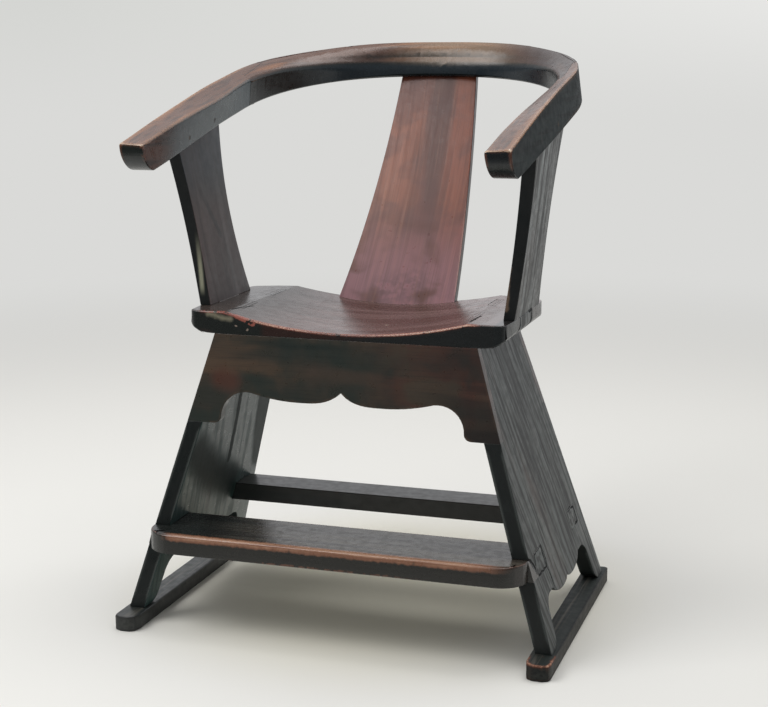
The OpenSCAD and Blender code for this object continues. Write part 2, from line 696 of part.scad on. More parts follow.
module pegs(grow) {
    y1 = rear_y(peg_z) - 1 + (grow > 0 ? 10 : 0);
    y0 = bar_tenon_rear - peg_in - grow;
    translate([board_mid(peg_z), y1, peg_z]) rotate([90, 0, 0])
        cylinder(d = peg_d + 2 * grow, h = y1 - y0);
}
module leg_board() {
    difference() {
        union() {
            intersection() {
                along(slab(runner_h, seat_under), -far / 2, far / 2);
                across(leg_side(), rail_half_w / 2, far);
            }
            intersection() {
                leg_tenon_zone(0);
                seat_blank();
            }
            runner_tenons(0);
        }
        seat_wedge_shape(0.1);
        runner_wedge_set(0.1);
        rest_slot();
        bar_slot();
        front_dowels(fit);
        rear_dowels(fit);
        pegs(fit);
        outside_board();
    }
}
// Keeps the foot tenons' upper ends inside the leaning board
module outside_board() {
    z = runner_h + 20;
    along([[out_x(runner_h), runner_h], [out_x(runner_h) + 60, runner_h], [out_x(runner_h) + 60, z],
        [out_x(z), z]], -far / 2, far / 2);
}
module right_leg_board() {
    color(c_green) placed() leg_board();
}
module left_leg_board() {
    color(c_green) placed() mirror([1, 0, 0]) leg_board();
}

// Runners
module runner() {
    a = runner_mid - runner_w / 2;
    b = runner_mid + runner_w / 2;
    c = runner_clip;
    f = -runner_front;
    difference() {
        linear_extrude(runner_h)
            polygon([[a, f + c + 6], [a + 3, f + 5], [a + c, f], [b - c, f], [b - 2, f + 4], [b, f + c],
                [b, runner_rear - 3], [b - 4, runner_rear], [a + 4, runner_rear], [a, runner_rear - 3]]);
        runner_tenons(fit);
    }
}
module right_runner() {
    color(c_green) placed() runner();
}
module left_runner() {
    color(c_green) placed() mirror([1, 0, 0]) runner();
}

// Aprons: front outline from the middle cusp to the end of the right drop
lobe_low_x = 68;
shoulder_w = 40;
shoulder_cusp = 7;
shoulder_x = apron_drop_x - shoulder_w;
lobe_top_x = shoulder_x - shoulder_cusp;
cusp_w = 8;
cusp_h = 7;
drop_round = 11;
function apron_half() = concat(
    [[0, apron_cusp_z]],
    [for (i = [0:8]) let (x = between(cusp_w, lobe_low_x, i / 8), s = (lobe_low_x - x) / (lobe_low_x - cusp_w))
        [x, between(apron_lobe_z, apron_cusp_z - cusp_h, pow(s, 3.5))]],
    [for (i = [1:7]) let (x = between(lobe_low_x, lobe_top_x, i / 7))
        [x, between(apron_lobe_z, apron_high_z - 0.5, pow(i / 7, 2))]],
    arc(shoulder_x, apron_step_z, shoulder_w, apron_high_z - apron_step_z, 90, 0, 9),
    arc(apron_drop_x + drop_round, apron_step_z, drop_round, apron_step_z - apron_foot_z, 190, 270, 5),
    [[out_x(apron_foot_z), apron_foot_z], [out_x(seat_under), seat_under]]);
module apron_outline(y0, y1) {
    along(concat(apron_half(), mirrored(apron_half())), y0, y1);
}
module front_apron() {
    color(c_lacquer) placed() difference() {
        intersection() {
            apron_outline(-far / 2, 0);
            across([[front_y(apron_foot_z), apron_foot_z], [front_y(apron_foot_z) + front_in, apron_foot_z],
                [front_y(seat_under) + front_in, seat_under], [front_y(seat_under), seat_under]],
                -far / 2, far / 2);
        }
        both() front_dowels(fit);
    }
}
module rear_apron() {
    color(c_lacquer) placed() difference() {
        intersection() {
            apron_outline(0, far / 2);
            across([[rear_y(apron_foot_z) - rear_in, apron_foot_z], [rear_y(apron_foot_z), apron_foot_z],
                [rear_y(seat_under), seat_under], [rear_y(seat_under) - rear_in, seat_under]],
                -far / 2, far / 2);
        }
        both() rear_dowels(fit);
    }
}

// Footrest
ear_front_y = front_y(rest_top) - rest_ear;
rest_end_x = out_x(rest_top);
rest_plan = concat(
    [[rest_end_x + 30, -rest_back], [rest_end_x + 30, ear_front_y]],
    arc(rest_end_x - rest_corner - 4, ear_front_y, rest_corner + 4, rest_front + ear_front_y, 0, -90, 8));
module between_boards(z0, z1, y0, y1) {
    along([[-out_x(z0), z0], [out_x(z0), z0], [out_x(z1), z1], [-out_x(z1), z1]], y0, y1);
}
module footrest() {
    color(c_lacquer) placed() difference() {
        intersection() {
            translate([0, 0, rest_z]) linear_extrude(rest_t)
                polygon(concat(rest_plan, mirrored(rest_plan)));
            between_boards(rest_z, rest_top, -far / 2, 0);
        }
        both() intersection() {
            along(slab(rest_z - 5, rest_top + 5), -far / 2, 0);
            across([[ear_low_y - 0.8, rest_z - 5], [-rest_tenon_front, rest_z - 5],
                [-rest_tenon_front, rest_top + 5], [ear_top_y, rest_top + 5], [ear_top_y, rest_top],
                [ear_low_y, rest_z]], rail_half_w / 2, far);
        }
    }
}

// Rear stretcher
module rear_stretcher() {
    color(c_lacquer) placed() difference() {
        intersection() {
            translate([-far / 2, bar_front, bar_z]) cube([far, bar_rear - bar_front, bar_t]);
            between_boards(bar_z, bar_z + bar_t, 0, far / 2);
        }
        both() intersection() {
            along(slab(bar_z - 5, bar_z + bar_t + 5), 0, far / 2);
            translate([rail_half_w / 2, bar_tenon_rear, bar_z - 5]) cube([far, bar_rear, bar_t + 10]);
        }
        both() pegs(fit);
    }
}

// Back splat
module back_splat() {
    color(c_splat) placed() union() {
        difference() {
            intersection() {
                splat_band(0, splat_t);
                splat_outline();
                above_under(-far, 0);
                translate([-far / 2, 0, seat_under + 4]) cube([far, far, far]);
            }
            seat_blank();
        }
        splat_foot_zone(0);
        splat_head_zone(0);
    }
}

// Arm supports
module arm_support() {
    n = support_steps;
    past = 1.12;
    difference() {
        union() {
            intersection() {
                support_blank(seat_top, seat_top + support_rise * 1.2, -far / 2, far / 2);
                across(concat(
                    [for (i = [0:n]) let (t = past * i / n) [support_rear_y(t), seat_top + t * support_rise]],
                    [for (i = [n:-1:0]) let (t = past * i / n)
                        [support_front_y(t), seat_top + t * support_rise]]),
                    support_out / 2, far);
                above_under(-far, 0);
            }
            intersection() {
                foot_tenon_zone(0);
                seat_blank();
            }
            support_tenon(0);
        }
        arm_pin_set(fit, 8);
    }
}
module right_arm_support() {
    color(c_green) placed() arm_support();
}
module left_arm_support() {
    color(c_green) placed() mirror([1, 0, 0]) arm_support();
}

// Wedges, dowels and pegs
module seat_tenon_wedges() {
    color(c_pin) placed() both() intersection() {
        seat_wedge_shape(0);
        seat_blank();
    }
}
module runner_wedges() {
    color(c_pin) placed() both() runner_wedge_set(0);
}
module front_apron_dowels() {
    color(c_pin) placed() both() front_dowels(0);
}
module rear_apron_dowels() {
    color(c_pin) placed() both() rear_dowels(0);
}
module stretcher_pegs() {
    color(c_pin) placed() both() pegs(0);
}

seat_board();
left_leg_board();
right_leg_board();
left_runner();
right_runner();
front_apron();
rear_apron();
footrest();
rear_stretcher();
back_splat();
left_arm_support();
right_arm_support();
back_rail();
left_arm_rail();
right_arm_rail();
arm_pins();
seat_tenon_wedges();
runner_wedges();
front_apron_dowels();
rear_apron_dowels();
scarf_keys();
stretcher_pegs();
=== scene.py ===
# Horseshoe-back armchair on sled runners, in worn dark lacquer on elm. Metres, +Z up, front towards -Y.
import math
import bmesh
import bpy
from mathutils import Matrix, Vector
from mathutils.bvhtree import BVHTree


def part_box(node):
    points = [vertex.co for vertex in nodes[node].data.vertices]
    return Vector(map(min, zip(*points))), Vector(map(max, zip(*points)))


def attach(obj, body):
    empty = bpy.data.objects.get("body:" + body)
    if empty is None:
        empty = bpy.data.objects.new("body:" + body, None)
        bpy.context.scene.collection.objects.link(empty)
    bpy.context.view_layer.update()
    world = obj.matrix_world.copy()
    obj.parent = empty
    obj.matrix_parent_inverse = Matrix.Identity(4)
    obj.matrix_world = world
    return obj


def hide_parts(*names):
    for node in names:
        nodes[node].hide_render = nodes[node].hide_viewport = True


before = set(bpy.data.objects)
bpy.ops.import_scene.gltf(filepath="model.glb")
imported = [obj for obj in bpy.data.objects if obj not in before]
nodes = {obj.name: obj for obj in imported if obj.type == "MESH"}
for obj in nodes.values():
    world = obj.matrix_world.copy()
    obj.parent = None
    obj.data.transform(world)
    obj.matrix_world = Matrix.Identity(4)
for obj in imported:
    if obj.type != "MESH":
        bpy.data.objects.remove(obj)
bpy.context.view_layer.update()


# The studio: a pale seamless paper floor and sweep, an overcast-soft room light and two large softboxes,
# front left and overhead, seen through a long lens from the front right, a little above the arms. The
# room is dim on the camera's side and pale behind the chair, which is what its polished faces mirror.
def rgb(colour):
    """A hex colour, as the eye reads it, turned to linear light."""
    parts = [int(colour[i:i + 2], 16) / 255 for i in (1, 3, 5)]
    return [c / 12.92 if c < 0.04045 else ((c + 0.055) / 1.055) ** 2.4 for c in parts] + [1.0]


def add(tree, kind, links=None, **settings):
    """One shader node with its settings, and its sockets linked or set."""
    made = tree.nodes.new("ShaderNode" + kind)
    for name, value in settings.items():
        setattr(made, name, value)
    for name, value in (links or {}).items():
        if isinstance(value, bpy.types.NodeSocket):
            tree.links.new(value, made.inputs[name])
        else:
            made.inputs[name].default_value = value
    return made


PAPER = "#dadad8"
PAPER_HIGH_LEFT, PAPER_HIGH_RIGHT = "#d4d5d2", "#e8e8e6"
ROOM_LIGHT = 0.55
MIRRORED_FRONT, MIRRORED_BACK = 0.22, 0.90
# Directions into the room, from -1 to 1: where the paper turns paler to the right, where it rises from
# the floor, and where the mirrored room goes from dim in front to pale behind
PALER_FROM, PALER_TO = -0.5, -0.08
RISE_FROM, RISE_TO = -0.06, 0.04
DIM_FROM, PALE_TO = -0.75, 0.45
scene = bpy.context.scene
scene.view_settings.view_transform = "Standard"
world = bpy.data.worlds.new("pale_room")
scene.world = world
world.use_nodes = True
sky = world.node_tree
sky.nodes.clear()
rays = add(sky, "LightPath")
toward = add(sky, "TexCoord")
axes = add(sky, "SeparateXYZ", {0: toward.outputs["Generated"]})
across = add(sky, "MapRange", {"Value": axes.outputs["X"], "From Min": PALER_FROM, "From Max": PALER_TO})
high = add(sky, "MixRGB", {"Fac": across.outputs[0], "Color1": rgb(PAPER_HIGH_LEFT),
                           "Color2": rgb(PAPER_HIGH_RIGHT)})
rise = add(sky, "MapRange", {"Value": axes.outputs["Z"], "From Min": RISE_FROM, "From Max": RISE_TO},
           interpolation_type="SMOOTHSTEP")
sweep = add(sky, "MixRGB", {"Fac": rise.outputs[0], "Color1": rgb(PAPER), "Color2": high.outputs[0]})
depth = add(sky, "MapRange", {"Value": axes.outputs["Y"], "From Min": DIM_FROM, "From Max": PALE_TO,
                              "To Min": MIRRORED_FRONT, "To Max": MIRRORED_BACK},
            interpolation_type="SMOOTHSTEP")
room = add(sky, "Background", {"Color": rgb("#ffffff"), "Strength": ROOM_LIGHT})
mirrored = add(sky, "Background", {"Color": rgb("#fbfcff"), "Strength": depth.outputs[0]})
paper = add(sky, "Background", {"Color": sweep.outputs[0], "Strength": 1.0})
lit = add(sky, "MixShader", {0: rays.outputs["Is Glossy Ray"], 1: room.outputs[0], 2: mirrored.outputs[0]})
shown = add(sky, "MixShader", {0: rays.outputs["Is Camera Ray"], 1: lit.outputs[0], 2: paper.outputs[0]})
add(sky, "OutputWorld", {"Surface": shown.outputs[0]})

# Matt paper under the chair, which takes its shadow and is painted warmer close to it, as painted bounce
# light from the chair's brown wood. Further out it fades into a glow of the backdrop's own colour, so that
# no horizon shows.
FLOOR_REACH = 14.0
FADE_STARTS, FADE_ENDS = 1.3, 3.6
BOUNCE_PAINT_ENDS, BOUNCE_PAINT_STARTS = 0.5, 0.15
DIM_STARTS, DIM_ENDS = -0.45, -1.0
GLOW_FRONT, GLOW_BACK = -3.0, 2.0
bpy.ops.object.select_all(action="DESELECT")
bpy.ops.mesh.primitive_circle_add(vertices=96, radius=FLOOR_REACH, fill_type="NGON")
floor = bpy.context.object
floor.name = "studio_floor"
floor_paint = bpy.data.materials.new("matt_paper_floor")
floor_paint.use_nodes = True
tree = floor_paint.node_tree
tree.nodes.clear()
spot = add(tree, "TexCoord")
from_chair = add(tree, "VectorMath", {0: spot.outputs["Object"]}, operation="LENGTH")
sides = add(tree, "SeparateXYZ", {0: spot.outputs["Object"]})
fade = add(tree, "MapRange", {"Value": from_chair.outputs["Value"], "From Min": FADE_STARTS,
                              "From Max": FADE_ENDS}, interpolation_type="SMOOTHSTEP")
# Painted bounce light: the sheet is painted warmer close to the chair
painted_bounce = add(tree, "MapRange", {"Value": from_chair.outputs["Value"], "From Min": BOUNCE_PAINT_ENDS,
                              "From Max": BOUNCE_PAINT_STARTS}, interpolation_type="SMOOTHSTEP")
sheet = add(tree, "MixRGB", {"Fac": painted_bounce.outputs[0], "Color1": rgb("#e5e4e0"), "Color2": rgb("#e3dfce")})
seen = add(tree, "LightPath")
# The lacquer mirrors a dimmer floor in front of the chair than behind it
front = add(tree, "MapRange", {"Value": sides.outputs["Y"], "From Min": DIM_STARTS, "From Max": DIM_ENDS})
shaded = add(tree, "Math", {0: front.outputs[0], 1: seen.outputs["Is Glossy Ray"]}, operation="MULTIPLY")
dim_sheet = add(tree, "MixRGB", {"Fac": shaded.outputs[0], "Color1": sheet.outputs[0],
                                 "Color2": rgb("#6c6c6c")})
matt = add(tree, "BsdfDiffuse", {"Color": dim_sheet.outputs[0]})
dimmer = add(tree, "MapRange", {"Value": sides.outputs["Y"], "From Min": GLOW_FRONT, "From Max": GLOW_BACK,
                                "To Min": MIRRORED_FRONT, "To Max": MIRRORED_BACK})
strength = add(tree, "Mix", {"Factor": seen.outputs["Is Glossy Ray"], "A": 1.0, "B": dimmer.outputs[0]})
glow = add(tree, "Emission", {"Color": rgb(PAPER), "Strength": strength.outputs[0]})
both = add(tree, "MixShader", {0: fade.outputs[0], 1: matt.outputs[0], 2: glow.outputs[0]})
add(tree, "OutputMaterial", {"Surface": both.outputs[0]})
floor.data.materials.append(floor_paint)

LAMPS_AIM = Vector((0, 0, 0.4))


def softbox(name, place, size, watts):
    """A square lamp that looks at the chair."""
    lamp = bpy.data.lights.new(name, "AREA")
    lamp.shape = "SQUARE"
    lamp.size = size
    lamp.energy = watts
    held = bpy.data.objects.new(name, lamp)
    held.location = place
    held.rotation_euler = (LAMPS_AIM - Vector(place)).to_track_quat("-Z", "Y").to_euler()
    scene.collection.objects.link(held)


softbox("softbox_front_left", place=(-1.5, -1.2, 2.7), size=1.7, watts=42)
softbox("softbox_overhead", place=(0.5, 0.6, 3.1), size=1.8, watts=34)

# The camera's place was solved together with the chair's sizes, in degrees, metres and picture pixels
AZIMUTH, ELEVATION, ROLL = 18.25, 11.421, -0.316
DISTANCE = 2.481344
AIM_Y, AIM_HEIGHT = -0.0695, 0.35
AIM_RIGHT, AIM_UP = -0.023332, -0.054616
FOCAL_PX, LENS_CENTRE_PX, PICTURE_WIDTH_PX = 1594.04, 386.172, 768
SENSOR_MM = 36
turn, tilt, roll = (math.radians(v) for v in (AZIMUTH, ELEVATION, ROLL))
back = Vector((math.sin(turn) * math.cos(tilt), -math.cos(turn) * math.cos(tilt), math.sin(tilt)))
right = Vector((math.cos(turn), math.sin(turn), 0))
up = back.cross(right)
right, up = right * math.cos(roll) + up * math.sin(roll), up * math.cos(roll) - right * math.sin(roll)
lens = bpy.data.cameras.new("long_lens")
lens.sensor_width = SENSOR_MM
lens.lens = FOCAL_PX * SENSOR_MM / PICTURE_WIDTH_PX
lens.shift_x = (PICTURE_WIDTH_PX / 2 - LENS_CENTRE_PX) / PICTURE_WIDTH_PX
camera = bpy.data.objects.new("long_lens", lens)
camera.matrix_world = Matrix((right, up, back)).transposed().to_4x4()
camera.location = Vector((0, AIM_Y, AIM_HEIGHT)) - right * AIM_RIGHT - up * AIM_UP + back * DISTANCE
scene.collection.objects.link(camera)
scene.camera = camera

# Leg boards: two splayed planks of close-grained elm, sawn to feet and a lobed arch, planed and coated
# with green-black lacquer that has gone grey and satin over the grain's long streaks. They are housed
# under the seat, and their tenons come up through it.
# A leaning board's length for its height, how far it leans out, and how far its grain slants
ALONG_LEAN, LEAN, GRAIN_SLANT = 1.04, 0.3011, 0.25
# An edge that is bent by more than SHARP wears round, and one with another piece within TOUCH_GAP at two
# of its three spots is in a joint
SHARP, SMOOTH, FLAT = math.radians(24), math.radians(40), math.radians(0.2)
WELD, CUT_WELD = 0.00002, 1e-6
TOUCH_GAP, EDGE_SPOTS = 0.0012, (0.2, 0.5, 0.8)
# Wear begins WEAR_CLEAR away from the next piece and is full WEAR_SPAN further on
WEAR_CLEAR, WEAR_SPAN, WEAR_SEARCH = 0.001, 0.012, 0.02
CELL_MM = 22


def gathered(name):
    """The corners and faces of all the other solids."""
    corners, faces = [], []
    for other, solid in nodes.items():
        if other != name:
            start = len(corners)
            corners += [v.co.copy() for v in solid.data.vertices]
            faces += [[start + i for i in face.vertices] for face in solid.data.polygons]
    return corners, faces


def clean_copy(name):
    """A copy of a solid, alone selected, with its doubles merged and its flat faces joined."""
    piece = bpy.data.objects.new(name + "_finished", nodes[name].data.copy())
    scene.collection.objects.link(piece)
    bpy.ops.object.select_all(action="DESELECT")
    piece.select_set(True)
    bpy.context.view_layer.objects.active = piece
    piece.data.materials.clear()
    bpy.ops.object.mode_set(mode="EDIT")
    bpy.ops.mesh.select_all(action="SELECT")
    bpy.ops.mesh.customdata_custom_splitnormals_clear()
    bpy.ops.mesh.remove_doubles(threshold=WELD)
    bpy.ops.mesh.dissolve_limited(angle_limit=FLAT)
    bpy.ops.object.mode_set(mode="OBJECT")
    return piece


def round_edges(piece, others, wear_mm, joint_mm, soft, steps):
    """Rounds a piece's free edges by wear_mm, its edges in joints by joint_mm, and soft ones by more."""
    shape = bmesh.new()
    shape.from_mesh(piece.data)
    layers = shape.edges.layers.float
    weight = layers.get("bevel_weight_edge") or layers.new("bevel_weight_edge")
    widest = max([wear_mm] + [more for test, more in soft])
    for edge in shape.edges:
        if len(edge.link_faces) != 2 or edge.calc_face_angle(0) < SHARP:
            continue
        start, end = (v.co for v in edge.verts)
        spots = [start.lerp(end, share) for share in EDGE_SPOTS]
        touching = sum(others.find_nearest(p, TOUCH_GAP)[0] is not None for p in spots) > 1
        rounding = joint_mm if touching else wear_mm
        if not touching:
            middle_mm = (start + end) / 2 * 1000
            for test, more in soft:
                if test(middle_mm):
                    rounding = more
        if edge.is_convex or touching:
            edge[weight] = rounding / widest
    shape.to_mesh(piece.data)
    shape.free()
    bevel = piece.modifiers.new("worn_edges", "BEVEL")
    bevel.limit_method = "WEIGHT"
    bevel.width = widest / 1000
    bevel.segments = steps
    bevel.use_clamp_overlap = False
    bevel.miter_outer = "MITER_ARC"
    bpy.ops.object.modifier_apply(modifier=bevel.name)


def lay_grain(piece, name, others, lay):
    """Cuts a piece into even cells, and gives each corner two attributes for its material: fibre, its
    place in the wood, and reach, which is 0 in the joints, where nothing wears it, and 1 in the open."""
    shape = bmesh.new()
    shape.from_mesh(piece.data)
    # The rounding stays within the solid's own box
    lowest, highest = (Vector(c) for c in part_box(name))
    for v in shape.verts:
        v.co = [min(max(c, low), high) for c, low, high in zip(v.co, lowest, highest)]
    for axis in range(3):
        across_axis = Vector([float(axis == k) for k in range(3)])
        count = int((highest - lowest)[axis] * 1000 // CELL_MM)
        for k in range(1, count):
            everything = shape.verts[:] + shape.edges[:] + shape.faces[:]
            bmesh.ops.bisect_plane(shape, geom=everything, dist=CUT_WELD,
                                   plane_co=lowest.lerp(highest, k / count), plane_no=across_axis)
    reach = shape.verts.layers.float.new("reach")
    fibre = shape.verts.layers.float_vector.new("fibre")
    for v in shape.verts:
        near = others.find_nearest(v.co, WEAR_SEARCH)
        v[reach] = 1.0 if near[0] is None else min(max((near[3] - WEAR_CLEAR) / WEAR_SPAN, 0), 1)
        v[fibre] = lay(v.co)
    shape.to_mesh(piece.data)
    shape.free()


def finished(name, wear_mm, lay, joint_mm=0.5, soft=(), steps=3):
    """The finished piece for a solid, with worn edges, and grain for its material to follow.
    lay: a spot's place along, across and into the wood.
    soft: (test on an edge's middle, rounding) for edges that hands or feet have rounded more."""
    piece = clean_copy(name)
    others = BVHTree.FromPolygons(*gathered(name))
    round_edges(piece, others, wear_mm, joint_mm, soft, steps)
    lay_grain(piece, name, others, lay)
    bpy.ops.object.shade_smooth_by_angle(angle=SMOOTH)
    even = piece.modifiers.new("flat_faces", "WEIGHTED_NORMAL")
    even.keep_sharp = True
    bpy.ops.object.modifier_apply(modifier=even.name)
    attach(piece, "root")
    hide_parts(name)
    return piece


# An edge is told from a face by how open the wood is within EDGE_REACH
EDGE_REACH, OPEN_AT_FACE, OPEN_AT_EDGE = 0.007, 0.97, 0.55
# A noise runs mostly from low to high, and RAGGED is how far it shifts the border of a worn edge
NOISE_LOW, NOISE_MIDDLE, NOISE_HIGH = 0.3, (0.5, 0.5, 0.5), 0.7
RAGGED = 0.35
# Lines stray up to STRAY_MM from where they are drawn, in waves of about 9 mm
STRAY_MM, STRAY_PER_MM = 2.5, 0.11


def wood_fields(tree, streak_mm):
    """What lacquer can be laid by, each an output of the tree: a place in millimetres (x, y, z), the same
    along, across and into the wood (lx, ly, lz), the face's direction (nx, ny, nz, from -1 to 1), noises,
    edge and wear (from 0 to 1), and the spot itself, as it is and strayed."""
    coords = add(tree, "TexCoord")
    mm = add(tree, "VectorMath", {0: coords.outputs["Object"], "Scale": 1000.0}, operation="SCALE")
    told = add(tree, "Attribute", attribute_name="fibre")
    fibre = add(tree, "VectorMath", {0: told.outputs["Vector"], "Scale": 1000.0}, operation="SCALE")
    fields = {}
    for start, source in (("", mm.outputs[0]), ("n", coords.outputs["Normal"]), ("l", fibre.outputs[0])):
        split = add(tree, "SeparateXYZ", {0: source})
        for i, axis in enumerate("xyz"):
            fields[start + axis] = split.outputs[i]
    # Each noise: what it follows, its size along, across and into the wood in mm, its detail and its
    # swirl. Streaks are single growth rings and brush marks, figure is the broad bands of the plank, and
    # fine is the wood's pores, drawn coarser than real ones so that they show.
    long_mm, wide_mm = streak_mm
    noises = {
        "streak": (fibre, (long_mm, wide_mm, wide_mm), 2, 0.25),
        "figure": (fibre, (long_mm * 2.2, wide_mm * 6, wide_mm * 6), 2, 0.6),
        "fine": (fibre, (long_mm * 0.6, 1.7, 1.7), 1, 0),
        "cloud": (mm, (75, 75, 75), 3, 0.3),
        "mottle": (mm, (12, 12, 12), 3, 0.2),
        "speck": (mm, (3, 3, 3), 2, 0),
    }
    for key, (source, size, detail, swirl) in noises.items():
        per_mm = [1 / s for s in size]
        scaled = add(tree, "VectorMath", {0: source.outputs[0], 1: per_mm}, operation="MULTIPLY")
        grainy = add(tree, "TexNoise", {"Vector": scaled.outputs[0], "Scale": 1.0, "Detail": detail,
                                        "Distortion": swirl})
        fields[key] = grainy.outputs[0]
    # Lines are laid on a slightly shaken ground, so that no chip or crack is quite straight
    shaken = add(tree, "TexNoise", {"Vector": mm.outputs[0], "Scale": STRAY_PER_MM, "Detail": 1.0})
    around = add(tree, "VectorMath", {0: shaken.outputs["Color"], 1: NOISE_MIDDLE}, operation="SUBTRACT")
    shift = add(tree, "VectorMath", {0: around.outputs[0], "Scale": STRAY_MM * 2}, operation="SCALE")
    strayed = add(tree, "VectorMath", {0: mm.outputs[0], 1: shift.outputs[0]}, operation="ADD")
    # edge is 1 on an open edge, and wear is the same with a ragged border
    inward = add(tree, "AmbientOcclusion", {"Distance": EDGE_REACH}, inside=True, only_local=True,
                 samples=8)
    bent = add(tree, "MapRange", {"Value": inward.outputs["AO"], "From Min": OPEN_AT_FACE,
                                  "From Max": OPEN_AT_EDGE})
    reach = add(tree, "Attribute", attribute_name="reach")
    worn = add(tree, "Math", {0: bent.outputs[0], 1: reach.outputs["Fac"]}, operation="MULTIPLY")
    ragged = add(tree, "MapRange", {"Value": fields["mottle"], "From Min": NOISE_LOW,
                                    "From Max": NOISE_HIGH, "To Min": -RAGGED, "To Max": RAGGED})
    rough_edge = add(tree, "Math", {0: worn.outputs[0], 1: ragged.outputs[0]}, operation="ADD")
    fields.update(edge=worn.outputs[0], wear=rough_edge.outputs[0], spot=mm.outputs[0],
                  strayed=strayed.outputs[0])
    return fields


SHORTEST_RUN = 1e-6


def from_line(tree, spot, plane, points):
    """How many millimetres a spot is from a jointed line, seen square to a plane such as "yz", or in
    space for "xyz". A line that is seen end on has no run of its own, and is a point."""
    kept = Vector([float(axis in plane) for axis in "xyz"])
    flat = add(tree, "VectorMath", {0: spot, 1: kept}, operation="MULTIPLY")
    points = [Vector(p) * kept for p in points]
    nearest = None
    for start, end in zip(points, points[1:]):
        run = end - start
        off = add(tree, "VectorMath", {0: flat.outputs[0], 1: start}, operation="SUBTRACT")
        per_mm = run / max(run.length_squared, SHORTEST_RUN)
        share = add(tree, "VectorMath", {0: off.outputs[0], 1: per_mm}, operation="DOT_PRODUCT")
        part = add(tree, "Math", {0: share.outputs["Value"], 1: 1.0}, operation="MULTIPLY", use_clamp=True)
        foot = add(tree, "VectorMath", {0: run, "Scale": part.outputs[0]}, operation="SCALE")
        gap = add(tree, "VectorMath", {0: off.outputs[0], 1: foot.outputs[0]}, operation="DISTANCE")
        if nearest is None:
            nearest = gap.outputs["Value"]
        else:
            nearer = add(tree, "Math", {0: nearest, 1: gap.outputs["Value"]}, operation="MINIMUM")
            nearest = nearer.outputs[0]
    return nearest


def amount_of(tree, fields, strength, masks):
    """A coat's strength, cut back by its masks. Each is (what, none, full): the coat is absent where what
    is none, and whole where it is full. What is the name of a field, (plane, points) for the distance to
    a line, or a slanted direction for the distance along it."""
    amount = strength
    for what, none, full in masks:
        if isinstance(what, str):
            field = fields[what]
        elif isinstance(what[0], str):
            field = from_line(tree, fields["strayed"], *what)
        else:
            slanted = add(tree, "VectorMath", {0: fields["spot"], 1: what}, operation="DOT_PRODUCT")
            field = slanted.outputs["Value"]
        mask = add(tree, "MapRange", {"Value": field, "From Min": none, "From Max": full},
                   interpolation_type="SMOOTHSTEP")
        cut_back = add(tree, "Math", {0: amount, 1: mask.outputs[0]}, operation="MULTIPLY")
        amount = cut_back.outputs[0]
    return amount


# Lacquer's refraction, the height of its brush marks in metres, and how much of them is fine grain
LACQUER_IOR = 1.5
BRUSH_RELIEF, FINE_IN_RELIEF = 0.0005, 0.35
# A crack fills with black dirt from its rim to its floor, in shares of its half width. The same black also
# paints the shadow that the right board's tenon ends cast, along their widened outlines.
CRACK_AND_SHADOW_BLACK, CRACK_STRENGTH, CRACK_DEPTH = "#040505", 0.95, 6.0
CRACK_RIM, CRACK_FLOOR = 1.3, 0.6


def lacquer(name, ground, coats, cracks=(), shine=(), *, rough, relief, lumps=0.5, streak_mm=(160, 5),
            level=0.5):
    """Lacquer over wood, built up in coats: (colour, strength, mask, mask, ...).
    cracks: (plane, half width, points, mask, ...). shine: as coats, with a roughness for the colour.
    rough: the roughness from low to high spots. relief and lumps: how deep the brush marks and the
    swellings are. streak_mm: a streak's length and width. level: the shader's specular level."""
    made = bpy.data.materials.new(name)
    made.use_nodes = True
    tree = made.node_tree
    tree.nodes.clear()
    fields = wood_fields(tree, streak_mm)
    colour = rgb(ground)
    for tint, strength, *masks in coats:
        share = amount_of(tree, fields, strength, masks)
        coat = add(tree, "MixRGB", {"Fac": share, "Color1": colour, "Color2": rgb(tint)})
        colour = coat.outputs[0]
    fine = add(tree, "Math", {0: fields["fine"], 1: FINE_IN_RELIEF, 2: fields["streak"]},
               operation="MULTIPLY_ADD")
    swell = add(tree, "Math", {0: fields["mottle"], 1: lumps}, operation="MULTIPLY")
    height = add(tree, "Math", {0: fine.outputs[0], 1: swell.outputs[0]}, operation="ADD").outputs[0]
    depths = []
    for plane, half_mm, points, *masks in cracks:
        line = ((plane, points), half_mm * CRACK_RIM, half_mm * CRACK_FLOOR)
        depth = amount_of(tree, fields, CRACK_STRENGTH, [line] + masks)
        blacked = add(tree, "MixRGB", {"Fac": depth, "Color1": colour, "Color2": rgb(CRACK_AND_SHADOW_BLACK)})
        colour = blacked.outputs[0]
        depths.append(depth)
        cut = add(tree, "Math", {0: depth, 1: CRACK_DEPTH}, operation="MULTIPLY")
        height = add(tree, "Math", {0: height, 1: cut.outputs[0]}, operation="SUBTRACT").outputs[0]
    patchy = add(tree, "MapRange", {"Value": fields["mottle"], "From Min": NOISE_LOW,
                                    "From Max": NOISE_HIGH, "To Min": rough[0], "To Max": rough[1]})
    uneven = patchy.outputs[0]
    for smooth, strength, *masks in shine:
        share = amount_of(tree, fields, strength, masks)
        uneven = add(tree, "Mix", {"Factor": share, "A": uneven, "B": smooth}).outputs[0]
    for depth in depths:
        uneven = add(tree, "Mix", {"Factor": depth, "A": uneven, "B": 1.0}).outputs[0]
    bump = add(tree, "Bump", {"Height": height, "Strength": relief, "Distance": BRUSH_RELIEF})
    shell = add(tree, "BsdfPrincipled", {"Base Color": colour, "Roughness": uneven, "IOR": LACQUER_IOR,
                                         "Specular IOR Level": level, "Normal": bump.outputs[0]})
    add(tree, "OutputMaterial", {"Surface": shell.outputs[0]})
    return made
